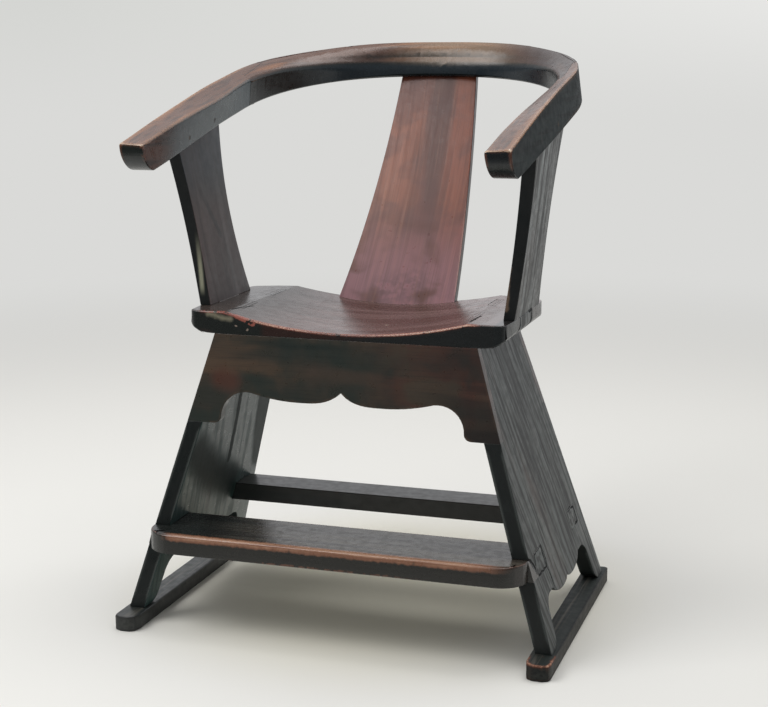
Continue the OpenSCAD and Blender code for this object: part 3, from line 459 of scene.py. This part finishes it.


# Old green-black lacquer on elm, brushed, with blue-grey streaks. Painted shade makes it nearly black from
# the front, a painted sheen lightens the right board's outer side low down, and a painted highlight runs
# along the front arris.
leg_coats = [
    ("#272e2c", 0.85, ("figure", 0.42, 0.62)),
    ("#3e312b", 0.7, ("ly", -150, -110), ("ly", -30, -75), ("figure", 0.6, 0.42)),
    ("#070a0a", 0.85, ("streak", 0.52, 0.36)),
    ("#444d4b", 0.6, ("streak", 0.54, 0.7)),
    ("#0b0e0e", 0.35, ("fine", 0.46, 0.32)),
    # Painted sheen on the right board's outer side, low down along the streaks
    ("#4a504e", 0.5, ("x", 0, 50), ("nx", 0.3, 0.7), ("z", 260, 130), ("streak", 0.4, 0.6)),
    # Painted shade on the front faces
    ("#121716", 0.92, ("ny", -0.6, -0.9)),
    # Painted highlight along the front arris
    ("#5a605d", 0.45, ("edge", 0.3, 0.7), ("ny", -0.15, -0.4), ("nz", -0.6, 0)),
    ("#2a1a14", 0.8, ("wear", 0.3, 0.6), ("y", 0, 20), ("z", 300, 320), ("z", 430, 410)),
]
# Joint lines on the right board that have cracked open: the footrest's tenon, a split behind it, the
# footrest's lap over the board's front edge, and the rear stretcher's tenon. The tenons' outlines are drawn
# wider than the cracks, to take in the painted shadow that the tenon ends cast.
cracks_and_tenon_shadows = [
    ("yz", 1.7, [(0, -166, 124), (0, -170, 155), (0, -209, 154), (0, -218, 136), (0, -215, 125),
                 (0, -166, 123.5)], ("nx", 0.5, 0.7)),
    ("yz", 1.3, [(0, -166, 155.5), (0, -161.5, 143), (0, -160.5, 131), (0, -165.5, 121.5),
                 (0, -159.5, 107.5), (0, -157, 96), (0, -156, 88)], ("nx", 0.5, 0.7)),
    ("yz", 2.4, [(0, -247, 159), (0, -232, 150.5), (0, -222, 138)], ("nx", 0.4, 0.7)),
    ("yz", 1.9, [(0, 20, 151), (0, 36, 152.5), (0, 58, 148), (0, 62, 126), (0, 46, 123.5)],
     ("nx", 0.5, 0.7)),
]
# The left board's inner face is painted with the light it catches from behind: a painted blue-green sheen,
# crossed by painted dark bands of reflection and shade, which are also duller
wide_band = ("yz", [(0, -205, 262), (0, -110, 200), (0, -20, 165)])
narrow_band = ("yz", [(0, -79, 330), (0, -66, 274), (0, -56, 215)])
rear_band = ("yz", [(0, 40, 330), (0, 62, 262), (0, 90, 200)])
short_band = ("yz", [(0, -116, 205), (0, -97, 140)])
left_painted_sheen_bands = [
    ("#2c4442", 0.75, ("nx", 0.3, 0.7)),
    ("#0b1212", 0.8, ("nx", 0.3, 0.7), (wide_band, 46, 12)),
    ("#0d1716", 0.85, ("nx", 0.3, 0.7), (narrow_band, 9, 4)),
    ("#0f1b1b", 0.8, ("nx", 0.3, 0.7), (rear_band, 42, 28)),
    ("#121c1b", 0.7, ("nx", 0.3, 0.7), (short_band, 10, 4)),
]
left_dull = [
    (0.75, 0.6, ("nx", 0.3, 0.7), (wide_band, 46, 12)),
    (0.6, 0.5, ("streak", 0.52, 0.36)),
    (0.75, 0.8, ("nx", 0.3, 0.7), (narrow_band, 9, 4)),
    (0.7, 0.7, ("nx", 0.3, 0.7), (rear_band, 42, 28)),
]
# The valleys of the grain are duller, so a sheen breaks up into streaks
dull_streaks = (0.62, 0.6, ("streak", 0.54, 0.36))
dull_figure = (0.58, 0.4, ("figure", 0.54, 0.36))
leg_lacquer = {
    "left": lacquer("green_black_lacquer_on_elm_left", "#151a19", leg_coats + left_painted_sheen_bands, shine=left_dull,
                    rough=(0.25, 0.35), relief=0.2, lumps=0.1, streak_mm=(120, 12), level=0.3),
    "right": lacquer("green_black_lacquer_on_elm_right", "#151a19", leg_coats, cracks_and_tenon_shadows,
                     shine=[dull_streaks, dull_figure], rough=(0.34, 0.48), relief=0.4, lumps=0.1,
                     streak_mm=(110, 9), level=0.38),
}
boards = {}
for side in ("left", "right"):
    boards[side] = finished(side + "_leg_board", wear_mm=1.4, joint_mm=0.7,
                            lay=lambda p: (p.z * ALONG_LEAN, p.y + p.z * GRAIN_SLANT,
                                           abs(p.x) + p.z * LEAN))
    boards[side].data.materials.append(leg_lacquer[side])

# Runners: two thick bars of elm under the boards' feet, whose tenons come through and are wedged from
# below. Their black lacquer is painted grey and dark on top, as the reflections it shows with some
# scuffing, painted lighter on the right runner's outer side as a sheen and darker on the left one's inner
# side as shade, and the right one's front end is kicked down to the red-brown ground, while all other
# bevels stay dark.
runner_coats = [
    ("#2b2d2a", 0.7, ("figure", 0.44, 0.62)),
    ("#0c1010", 0.7, ("streak", 0.5, 0.38)),
    # Painted sheen on the right runner's outer side, and painted shade on the left runner's inner side
    ("#3c3833", 0.6, ("nx", 0.5, 0.9), ("fine", 0.35, 0.6), ("x", -10, 10)),
    ("#0d1413", 0.8, ("nx", 0.5, 0.9), ("x", 10, -10)),
    # Painted reflections on the tops: dark overall, with lighter streaks on the left runner and a strip on
    # the right
    ("#1a211f", 0.7, ("nz", 0.7, 0.95)),
    ("#4d4a43", 0.7, ("nz", 0.7, 0.95), ("streak", 0.48, 0.62), ("x", 0, -10)),
    ("#55504a", 0.6, ("nz", 0.7, 0.95), ("x", 300, 318), ("x", 326, 318), ("streak", 0.4, 0.6)),
    ("#0b0d0d", 0.7, ("edge", 0.25, 0.5)),
]
kicked = [
    ("#7a4a38", 0.9, ("wear", 0.25, 0.6), ("y", -240, -270), ("nz", -0.1, 0.3)),
    ("#c9a58a", 0.8, ("wear", 0.6, 0.85), ("y", -262, -290), ("nz", 0.1, 0.5), ("speck", 0.4, 0.55)),
    ("#2c1f1a", 0.7, ("ny", -0.5, -0.9), ("cloud", 0.35, 0.6)),
]
runner_lacquer = {
    "left": lacquer("sheen_and_scuffed_black_lacquer_on_elm", "#191c1b", runner_coats, rough=(0.34, 0.5),
                    relief=0.5, lumps=0.3),
    "right": lacquer("kicked_black_lacquer_on_elm", "#191c1b", runner_coats + kicked, rough=(0.5, 0.62),
                     relief=0.4, lumps=0.2, level=0.22),
}
for side in ("left", "right"):
    runner = finished(side + "_runner", wear_mm=2.0, lay=lambda p: (p.y, p.x, p.z))
    runner.data.materials.append(runner_lacquer[side])

# Aprons: thin boards of elm doweled across the leg boards' edges, with a cusped and lobed lower edge,
# in dark lacquer that shows red-brown wood in cloudy patches where it was rubbed thin.
apron_lacquer = lacquer("cloudy_brown_black_lacquer_on_elm", "#292a24", [
    ("#45362a", 0.7, ("cloud", 0.42, 0.6), ("figure", 0.34, 0.56)),
    ("#4f281d", 0.75, ("x", 20, 120), ("cloud", 0.62, 0.44), ("figure", 0.34, 0.56)),
    ("#54402f", 0.45, ("x", -10, -150), ("figure", 0.42, 0.6)),
    ("#1c2824", 0.6, ("cloud", 0.52, 0.36)),
    ("#0f1615", 0.25, ("fine", 0.46, 0.32)),
    ("#4a2a1f", 0.75, (("xz", [(-192, 0, 384), (-176, 0, 380)]), 26, 4)),
    ("#43342a", 0.6, (("xz", [(-40, 0, 398), (40, 0, 402)]), 34, 4), ("figure", 0.36, 0.56)),
    ("#14201d", 0.8, (("xz", [(-170, 0, 446), (20, 0, 446)]), 16, 6), ("figure", 0.6, 0.4)),
    ("#171716", 0.6, ("x", 110, 200), ("figure", 0.66, 0.46)),
    ("#1a1614", 0.8, ("x", 60, 200), ("z", 350, 322)),
    ("#54402f", 0.4, ("wear", 0.7, 0.95)),
], rough=(0.26, 0.4), relief=0.1, lumps=0.2, streak_mm=(150, 9))
for side in ("front", "rear"):
    apron = finished(side + "_apron", wear_mm=1.2, lay=lambda p: (p.x, p.z, p.y))
    apron.data.materials.append(apron_lacquer)

# Footrest: a wide board of elm with rounded front corners, housed in both leg boards. Feet have rounded
# its front edge and polished it through to a copper-brown band. A painted highlight runs along the band,
# its top has a painted sheen, its front face painted shade, and its left end a painted dark reflection of
# the left leg board.
REST_TOP_ABOVE, REST_FRONT_BEFORE, REST_LAP_BEFORE = 150, -216, -219
# The front edge's rounding is deepest in the middle, and both go this far out from it
REST_FRONT_ROUND, REST_FRONT_HALF = 7, 268
REST_END_ROUND, REST_END_HALF = 3, 284
# The copper band and the painted highlight along it run just in from the top front edge, and a scraped line
# just up from the lower one
COPPER_ENDS, COPPER_IN, COPPER_DOWN = (-262, 246), 2, 1.5
SCRAPED_ENDS, SCRAPED_UP = (-240, 262), 1
SIDEWAYS = 0.9
rest_low, rest_high = (Vector(c) * 1000 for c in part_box("footrest"))
front_edge = [(x, rest_low.y + COPPER_IN, rest_high.z - COPPER_DOWN) for x in COPPER_ENDS]
low_edge = [(x, rest_low.y, rest_low.z + SCRAPED_UP) for x in SCRAPED_ENDS]
rest_lacquer = lacquer("trodden_brown_lacquer_on_elm", "#272320", [
    # Painted sheen on the top faces
    ("#4f4a42", 0.75, ("nz", 0.6, 0.95), ("figure", 0.36, 0.6)),
    ("#211e1a", 0.6, ("streak", 0.5, 0.38)),
    # Painted dark reflection of the left leg board on the footrest's left end
    ("#151a19", 0.85, ("x", -130, -215)),
    # Painted shade on the front faces
    ("#1f1f1b", 0.8, ("ny", -0.6, -0.95)),
    ("#7d543f", 0.9, (("yz", front_edge), 9.5, 6), ("x", -268, -245), ("x", 285, 225),
     ("mottle", 0.2, 0.4)),
    # Painted highlight along the middle of the copper band
    ("#b08a70", 0.65, (("yz", front_edge), 6.5, 1.5), ("x", -258, -235), ("x", 262, 200),
     ("streak", 0.34, 0.52)),
    ("#6b4838", 0.7, (("xyz", low_edge), 3, 1), ("mottle", 0.44, 0.52), ("x", -160, -120), ("x", 160, 60)),
    ("#6a4636", 0.6, ("edge", 0.4, 0.7), ("nz", 0.2, 0.5)),
], rough=(0.2, 0.36), relief=0.2, lumps=0.3, streak_mm=(190, 4.5))


def on_rest_front(p, half):
    """Whether a spot is on the footrest's top front edge, within half of the middle."""
    return p.z > REST_TOP_ABOVE and p.y < REST_FRONT_BEFORE and abs(p.x) < half


footrest = finished("footrest", wear_mm=1.6, lay=lambda p: (p.x, p.y, p.z), joint_mm=0.7, steps=4,
                    soft=[(lambda p: on_rest_front(p, REST_END_HALF), REST_END_ROUND),
                          (lambda p: on_rest_front(p, REST_FRONT_HALF), REST_FRONT_ROUND)])
footrest.data.materials.append(rest_lacquer)
# Behind the lap over the boards' front edges its tenons lie flush in the boards and share their lacquer
footrest.data.materials.append(leg_lacquer["right"])
for face in footrest.data.polygons:
    if abs(face.normal.x) > SIDEWAYS and face.center.y > REST_LAP_BEFORE / 1000:
        face.material_index = 1

# Rear stretcher: a plain bar of elm let through both leg boards and held by a peg in each. It looks
# plain and dark, a little browner along its grain, with a painted sheen lightening its top, and its ends
# were lacquered with the boards.
bar_lacquer = lacquer("plain_green_black_lacquer_on_elm", "#181d1c", [
    ("#2d2c28", 0.7, ("figure", 0.45, 0.62)),
    # Painted sheen on the top faces
    ("#3a3a36", 0.5, ("nz", 0.7, 0.95)),
    ("#4a3a30", 0.4, ("wear", 0.65, 0.95)),
], rough=(0.28, 0.42), relief=0.3, lumps=0.3)
stretcher = finished("rear_stretcher", wear_mm=1.6, lay=lambda p: (p.x, p.z, p.y), joint_mm=0.7)
stretcher.data.materials.append(bar_lacquer)
stretcher.data.materials.append(leg_lacquer["right"])
for face in stretcher.data.polygons:
    if abs(face.normal.x) > SIDEWAYS:
        face.material_index = 1

# Seat: one thick plank of elm, scooped across its width, with the leg boards' and supports' tenons
# showing in it. Its lacquer is brown where it is sat on, polished like glass on the flat shoulders, and
# worn to salmon and pale ground along the front edge, whose pale line is also a painted highlight. A
# painted sheen lightens the right shoulder, and a painted dark reflection of the right support darkens the
# seat's right front corner.
SEAT_FRONT_ROUND = 3.4
SEAT_FRONT_BEFORE, SEAT_EDGE_ABOVE = -196, 455
SEAT_GRAIN_DEPTH = 0.4
TENON_TOP_ABOVE, FACING_UP = 470, 0.7
# Cracks around the tenons in the seat's top, then around the support's foot on the seat's right end
seat_cracks = [
    ("xy", 1.2, [(-186, -176, 0), (-181, -150, 0), (-173, -124, 0)], ("nz", 0.7, 0.9)),
    ("xy", 2.0, [(188, -178, 0), (190.5, -128, 0)], ("nz", 0.7, 0.9)),
    ("xy", 0.8, [(163, -43.5, 0), (174, -41, 0)], ("nz", 0.7, 0.9)),
    ("xy", 0.9, [(174, -22, 0), (176, 28, 0)], ("nz", 0.7, 0.9)),
    ("yz", 2.3, [(0, -120, 484), (0, -120, 472), (0, -131, 464), (0, -156, 455)], ("nx", 0.4, 0.7)),
    ("yz", 2.3, [(0, -46, 484), (0, -50, 472), (0, -61, 464), (0, -84, 456)], ("nx", 0.4, 0.7)),
]
glassy_shoulders = [
    (0.15, 0.85, ("nz", 0.95, 0.99), ("x", 205, 218)),
    (0.24, 0.7, ("nz", 0.95, 0.99), ("x", -205, -218)),
]
seat_lacquer = lacquer("worn_brown_lacquer_on_thick_elm", "#231c1a", [
    ("#50352e", 0.85, ("nz", 0.5, 0.9)),
    ("#745c58", 0.55, ("nz", 0.5, 0.9), ("figure", 0.4, 0.6)),
    ("#322f2b", 0.85, ("nz", 0.5, 0.9), ("x", -50, -190)),
    # Painted sheen on the right shoulder
    ("#6b5d5a", 0.7, ("nz", 0.5, 0.9), ("x", 170, 212)),
    # Painted dark reflection of the right support at the seat's right front corner
    ("#161c1d", 0.92, ("x", 226, 232), ("y", -110, -145)),
    ("#2e201d", 0.35, ("nz", 0.5, 0.9), ("streak", 0.5, 0.34)),
    ("#151b19", 0.9, ("ny", -0.5, -0.9), ("x", -90, -130)),
    ("#2c1a16", 0.9, ("ny", -0.5, -0.9), ("x", -135, -120), ("x", 60, -40)),
    ("#171b1c", 0.9, ("ny", -0.5, -0.9), ("x", -50, 60)),
    ("#8d7d72", 0.7, (("xz", [(-169.5, 0, 463), (-168.5, 0, 463)]), 1.6, 0.8)),
    ("#8d7d72", 0.7, (("xz", [(-151.5, 0, 458), (-150.5, 0, 459)]), 1.6, 0.8)),
    ("#8f8974", 0.6, (("xz", [(-214, 0, 480), (-195, 0, 476), (-178, 0, 473)]), 7, -1), ("ny", -0.3, -0.7)),
    ("#8f5145", 0.9, ("edge", 0.1, 0.3), ("y", -186, -193), ("x", 212, 196), ("x", -236, -216),
     ("nz", -0.05, 0.3), ("mottle", 0.34, 0.42)),
    ("#8f5145", 0.9, (("xz", [(-168, 0, 479), (-142, 0, 468)]), 5, 3), ("y", -190, -196),
     ("mottle", 0.46, 0.52)),
    # Pale ground worn through at the front edge, painted paler as the highlight the rounded edge catches
    ("#dfb79e", 0.9, ("edge", 0.3, 0.55), ("y", -188, -195), ("x", 208, 190), ("speck", 0.36, 0.46),
     ("nz", 0.1, 0.35), ("nz", 0.97, 0.85), ("x", -160, -125)),
    ("#b9a795", 0.8, (("xyz", [(43, -121, 461), (45.5, -120, 461)]), 2.4, 1.2)),
], seat_cracks, glassy_shoulders, rough=(0.2, 0.32), relief=0.08, lumps=0.3,
    streak_mm=(190, 6), level=0.44)
seat_soft = [(lambda p: p.y < SEAT_FRONT_BEFORE and p.z > SEAT_EDGE_ABOVE, SEAT_FRONT_ROUND)]
seat = finished("seat_board", wear_mm=2.0, lay=lambda p: (p.x, p.y, p.z * SEAT_GRAIN_DEPTH),
                joint_mm=0.7, soft=seat_soft, steps=4)
seat.data.materials.append(seat_lacquer)
# The leg boards' tenon ends were planed and lacquered together with the seat
for board in boards.values():
    board.data.materials.append(seat_lacquer)
    for face in board.data.polygons:
        if face.center.z > TENON_TOP_ABOVE / 1000 and face.normal.z > FACING_UP:
            face.material_index = 1

# Back splat: one board of elm, steam-bent backwards and tenoned into seat and rail, in thin red-brown
# lacquer that shows the straight vertical grain, browner and redder bands and a dusky heart streak. A
# painted greyish-pink sheen lies low on it, and a painted highlight runs low down its right front edge.
splat_lacquer = lacquer("thin_red_brown_lacquer_on_elm", "#633629", [
    ("#84492f", 0.7, ("lx", 500, 640), ("lx", 840, 730), ("ly", 6, -24)),
    ("#80452f", 0.7, ("lx", 480, 620), ("ly", 22, 40)),
    ("#8f5843", 0.45, ("ly", -18, -50), ("lx", 480, 560), ("lx", 780, 660)),
    ("#4d2c24", 0.5, ("figure", 0.56, 0.38)),
    ("#4a2c2a", 0.4, ("cloud", 0.54, 0.4)),
    ("#44271f", 0.5, (("xz", [(13, 0, 850), (10, 0, 700), (-8, 0, 590), (-26, 0, 470)]), 34, 2),
     ("figure", 0.66, 0.42)),
    # Painted sheen, greyish-pink, on the lower part
    ("#8d646c", 0.75, ("z", 620, 480), ("cloud", 0.3, 0.5)),
    ("#54373b", 0.6, (("xz", [(-26, 0, 478), (24, 0, 492)]), 40, 4), ("mottle", 0.3, 0.6)),
    ("#4a2b24", 0.22, ("streak", 0.52, 0.34)),
    ("#9a6c55", 0.15, ("streak", 0.54, 0.72)),
    ("#452a22", 0.3, ("fine", 0.46, 0.32)),
    ("#2d1b19", 0.7, ("z", 800, 846)),
    ("#180e0c", 0.95, ("nx", 0.5, 0.8)),
    ("#180e0c", 0.9, ("nx", -0.5, -0.8)),
    ("#38201a", 0.7, ("ny", 0.2, 0.7)),
    # Painted highlight low on the right front edge
    ("#a98c80", 0.6, ("edge", 0.45, 0.8), ("ny", -0.1, -0.4), ("x", 0, 20), ("z", 640, 560)),
], shine=[(0.45, 0.35, ("streak", 0.52, 0.36))], rough=(0.27, 0.36), relief=0.12, lumps=0.1,
    streak_mm=(150, 6), level=0.42)
splat = finished("back_splat", wear_mm=1.2, lay=lambda p: (p.z, p.x, 0))
splat.data.materials.append(splat_lacquer)

# Arm supports: curved boards of elm let into the seat's ends and the arms, flaring outwards and
# forwards, in thin lacquer over long flowing grain, brown inside, with a painted blue-grey sheen on the
# right one's outside. Their front faces carry painted shade, their front edges painted highlights, and the
# left one's inner side a painted shadow of the arm high up.
SUPPORT_GRAIN_SLANT, SUPPORT_GRAIN_DEPTH = 0.12, 0.3
# The right support's foot forms part of the seat's end, so the cracks around it go on over it
seat_lap = [
    ("yz", 2.3, [(0, -121, 484), (0, -119, 472), (0, -131, 464), (0, -156, 455)], ("nx", 0.4, 0.7)),
    ("yz", 2.3, [(0, -66, 484), (0, -46, 484), (0, -50, 472), (0, -61, 464), (0, -84, 456)],
     ("nx", 0.4, 0.7)),
]
# A painted pale highlight runs up the middle of the left support's front edge, which leans a little
# outwards
highlight_across = (1, 0, 0.06)
support_coats = [
    ("#33312f", 0.7, ("figure", 0.42, 0.62)),
    ("#0f1313", 0.7, ("streak", 0.5, 0.36)),
    # Painted shade on the front faces
    ("#0d1213", 0.92, ("ny", -0.6, -0.9)),
]
support_lacquer = {
    "left": lacquer("brown_black_lacquer_on_bent_elm", "#1c1d1b", support_coats + [
        ("#3a2b2a", 0.6, ("nx", 0.3, 0.7), ("z", 690, 600)),
        # Painted shadow of the arm, high on the left support's inner side
        ("#1a242b", 0.85, ("nx", 0.3, 0.7), ("z", 620, 705)),
        ("#161413", 0.45, ("nx", 0.3, 0.7), ("streak", 0.52, 0.38)),
        ("#4a3b3b", 0.4, ("nx", 0.3, 0.7), ("figure", 0.5, 0.62), ("z", 640, 560)),
        ("#0c0e0e", 0.85, (("yz", [(0, -132, 667), (0, -104, 625), (0, -77, 583)]), 7, 3)),
        ("#b06a44", 0.8, (("yz", [(0, -181, 631), (0, -180, 628)]), 3, 1.5)),
        # Painted highlight up the front edge
        ("#a5a48c", 0.6, (highlight_across, -219, -214.5), (highlight_across, -208, -212.5), ("z", 496, 516),
         ("z", 604, 530), ("ny", -0.2, -0.6)),
    ], shine=[(0.5, 0.35, ("figure", 0.54, 0.36))], rough=(0.28, 0.4), relief=0.15, lumps=0.2,
        streak_mm=(120, 8), level=0.46),
    "right": lacquer("blue_black_lacquer_on_bent_elm", "#1b2021", support_coats + [
        # Painted blue-grey sheen on the right support's outer side, palest near the arm
        ("#4d5658", 0.65, ("streak", 0.48, 0.68), ("nx", 0.3, 0.7)),
        ("#848d8b", 0.55, ("streak", 0.6, 0.74), ("nx", 0.3, 0.7), ("z", 560, 700)),
        ("#15191a", 0.7, ("nx", 0.3, 0.7), ("ly", 0, 30)),
        # Painted highlight along the right support's inner front edge
        ("#6e5846", 0.7, (("xz", [(236, 0, 500), (241, 0, 600)]), 5, 1), ("ny", -0.2, -0.6)),
    ], seat_lap, [dull_streaks], rough=(0.26, 0.42), relief=0.3, lumps=0.2, streak_mm=(140, 10),
        level=0.42),
}
for side in ("left", "right"):
    support = finished(side + "_arm_support", wear_mm=1.2, joint_mm=0.7,
                       lay=lambda p: (p.z, p.y + SUPPORT_GRAIN_SLANT * p.z, p.x * SUPPORT_GRAIN_DEPTH))
    support.data.materials.append(support_lacquer[side])

# Crest rail: a horseshoe of three curved pieces of elm, scarfed together behind the arms and keyed.
# Hands have polished its top brown and worn the arms' edges to a copper line. Its inner side is painted
# blue-black and blue-grey as the sheen it shows, while the outward faces, which nothing rubs, stay matt and
# nearly black.
CURVE_START, CURVE_RADIUS = 0.05, 0.28
RAIL_GRAIN_RISE = 0.6
BACK_TOP_ABOVE, BACK_TOP_ROUND = 815, 5
OUTWARD, UPRIGHT = 0.45, 0.6
SPLAT_TENON_BEHIND = 318


def along_rail(p):
    """Along the curve, out from its middle and up."""
    if p.y < CURVE_START:
        return p.y - CURVE_START, abs(p.x), p.z * RAIL_GRAIN_RISE
    out = math.hypot(p.x, p.y - CURVE_START)
    return math.atan2(p.y - CURVE_START, abs(p.x)) * CURVE_RADIUS, out, p.z * RAIL_GRAIN_RISE


rail_coats = [
    ("#262322", 0.6, ("figure", 0.45, 0.62)),
    ("#0e1212", 0.7, ("streak", 0.5, 0.36)),
    ("#5d3f31", 0.92, ("nz", 0.3, 0.75)),
    ("#8a5c3c", 0.6, ("nz", 0.3, 0.75), ("figure", 0.48, 0.64)),
    ("#38261f", 0.65, ("nz", 0.3, 0.75), ("streak", 0.5, 0.36)),
]
# The arms' edges are worn to a copper line with pale specks, and their tips to red-brown and pale
# ground. The left arm's inner side carries a painted blue-grey sheen and turns brown towards the tip.
copper_line = ("#936b4e", 0.85, ("edge", 0.12, 0.36), ("nz", 0.05, 0.35), ("y", 150, 60),
               ("speck", 0.34, 0.5), ("nx", -0.6, -0.1))
pale_specks = ("#c6a48a", 0.7, ("edge", 0.55, 0.8), ("nz", 0.1, 0.4), ("y", 20, -160), ("speck", 0.4, 0.52))
worn_tips = [
    ("#6d4230", 0.7, ("edge", 0.35, 0.7), ("y", -316, -326), ("mottle", 0.36, 0.5)),
    ("#e0c9b2", 0.8, ("edge", 0.45, 0.75), ("y", -322, -328), ("nz", 0.2, 0.6)),
]
arm_wear = [copper_line, pale_specks] + worn_tips
arm_lacquer = {
    "left": lacquer("hand_worn_lacquer_with_painted_sheen_on_elm_left", "#1a1e1e", rail_coats + [
        # Painted blue-grey sheen on the left arm's inner side
        ("#445055", 0.75, ("nx", 0.5, 0.8), ("y", -290, -190)),
        ("#4a332c", 0.7, ("nx", 0.5, 0.8), ("y", -200, -290), ("streak", 0.32, 0.56)),
        ("#0c1512", 0.85, ("ny", -0.7, -0.95)),
    ] + arm_wear, rough=(0.24, 0.34), relief=0.04, lumps=0.4, streak_mm=(180, 6)),
    "right": lacquer("hand_worn_lacquer_on_elm_right", "#161c1d", rail_coats + [
        ("#0b1317", 0.85, ("ny", -0.7, -0.95)),
    ] + arm_wear, [
        ("xy", 1.5, [(268, -12, 0), (271, -2, 0)], ("nz", 0.6, 0.8)),
        ("xy", 1.3, [(262, -98, 0), (265, -92, 0)], ("nz", 0.6, 0.8)),
    ], rough=(0.22, 0.34), relief=0.08, lumps=0.3, streak_mm=(180, 6)),
}
# Matt green-black lacquer on every outward face, so that arms and back are of one tone from outside
rail_outside = lacquer("matt_green_black_lacquer_on_elm", "#131b1c", [
    ("#212929", 0.7, ("figure", 0.45, 0.62)),
    ("#0a0f10", 0.7, ("streak", 0.5, 0.38)),
    copper_line,
] + worn_tips, rough=(0.52, 0.64), relief=0.12, lumps=0.3, level=0.09)
# The back piece: a painted blue-black sheen on the inner side under a brown top, with a painted highlight
# just right of the middle, and darker towards the right end
back_lacquer = lacquer("hand_polished_lacquer_with_painted_highlight_on_elm", "#1a1f20", rail_coats + [
    # Painted blue-black sheen on the inner side
    ("#222d35", 0.65, ("ny", -0.4, -0.8), ("nz", 0.4, 0.1)),
    # Painted highlight just right of the middle
    ("#8a7660", 0.55, ("nz", 0.1, 0.6), ("x", -110, 20), ("x", 190, 60)),
    ("#231815", 0.85, ("nz", 0.3, 0.75), ("x", 80, 200)),
], rough=(0.22, 0.34), relief=0.08, lumps=0.3, streak_mm=(180, 6))
back_soft = [(lambda p: p.z > BACK_TOP_ABOVE and p.y > 0, BACK_TOP_ROUND)]
rails = [
    ("left_arm_rail", arm_lacquer["left"], []),
    ("right_arm_rail", arm_lacquer["right"], []),
    ("back_rail", back_lacquer, back_soft),
]
for name, polish, soft in rails:
    rail = finished(name, wear_mm=1.6, lay=along_rail, soft=soft)
    rail.data.materials.append(polish)
    rail.data.materials.append(rail_outside)
    for face in rail.data.polygons:
        outward = Vector((face.center.x, max(face.center.y - CURVE_START, 0), 0)).normalized()
        if face.normal.dot(outward) > OUTWARD and abs(face.normal.z) < UPRIGHT:
            face.material_index = 1
# The splat's tenon comes out flush in the rail's back and was lacquered with it
splat.data.materials.append(rail_outside)
for face in splat.data.polygons:
    if face.center.y > SPLAT_TENON_BEHIND / 1000:
        face.material_index = 1

# Pins, wedges, dowels, keys and pegs: split hardwood, driven into the joints and cut flush. Their ends
# are dark and mottled, because the lacquer has stained the end grain where they come through.
pin_stain = lacquer("stained_hardwood_pins", "#1d1c1a", [
    ("#3a2e27", 0.7, ("mottle", 0.45, 0.6)),
    ("#5a4334", 0.5, ("speck", 0.52, 0.66)),
], rough=(0.34, 0.5), relief=0.3)
stained = ("arm_pins", "runner_wedges", "front_apron_dowels", "rear_apron_dowels", "scarf_keys",
           "stretcher_pegs")
pin_finish = {name: pin_stain for name in stained}
# These wedges were planed off with the seat's top and share its lacquer
pin_finish["seat_tenon_wedges"] = seat_lacquer
for name, finish in pin_finish.items():
    nodes[name].data.materials.clear()
    nodes[name].data.materials.append(finish)
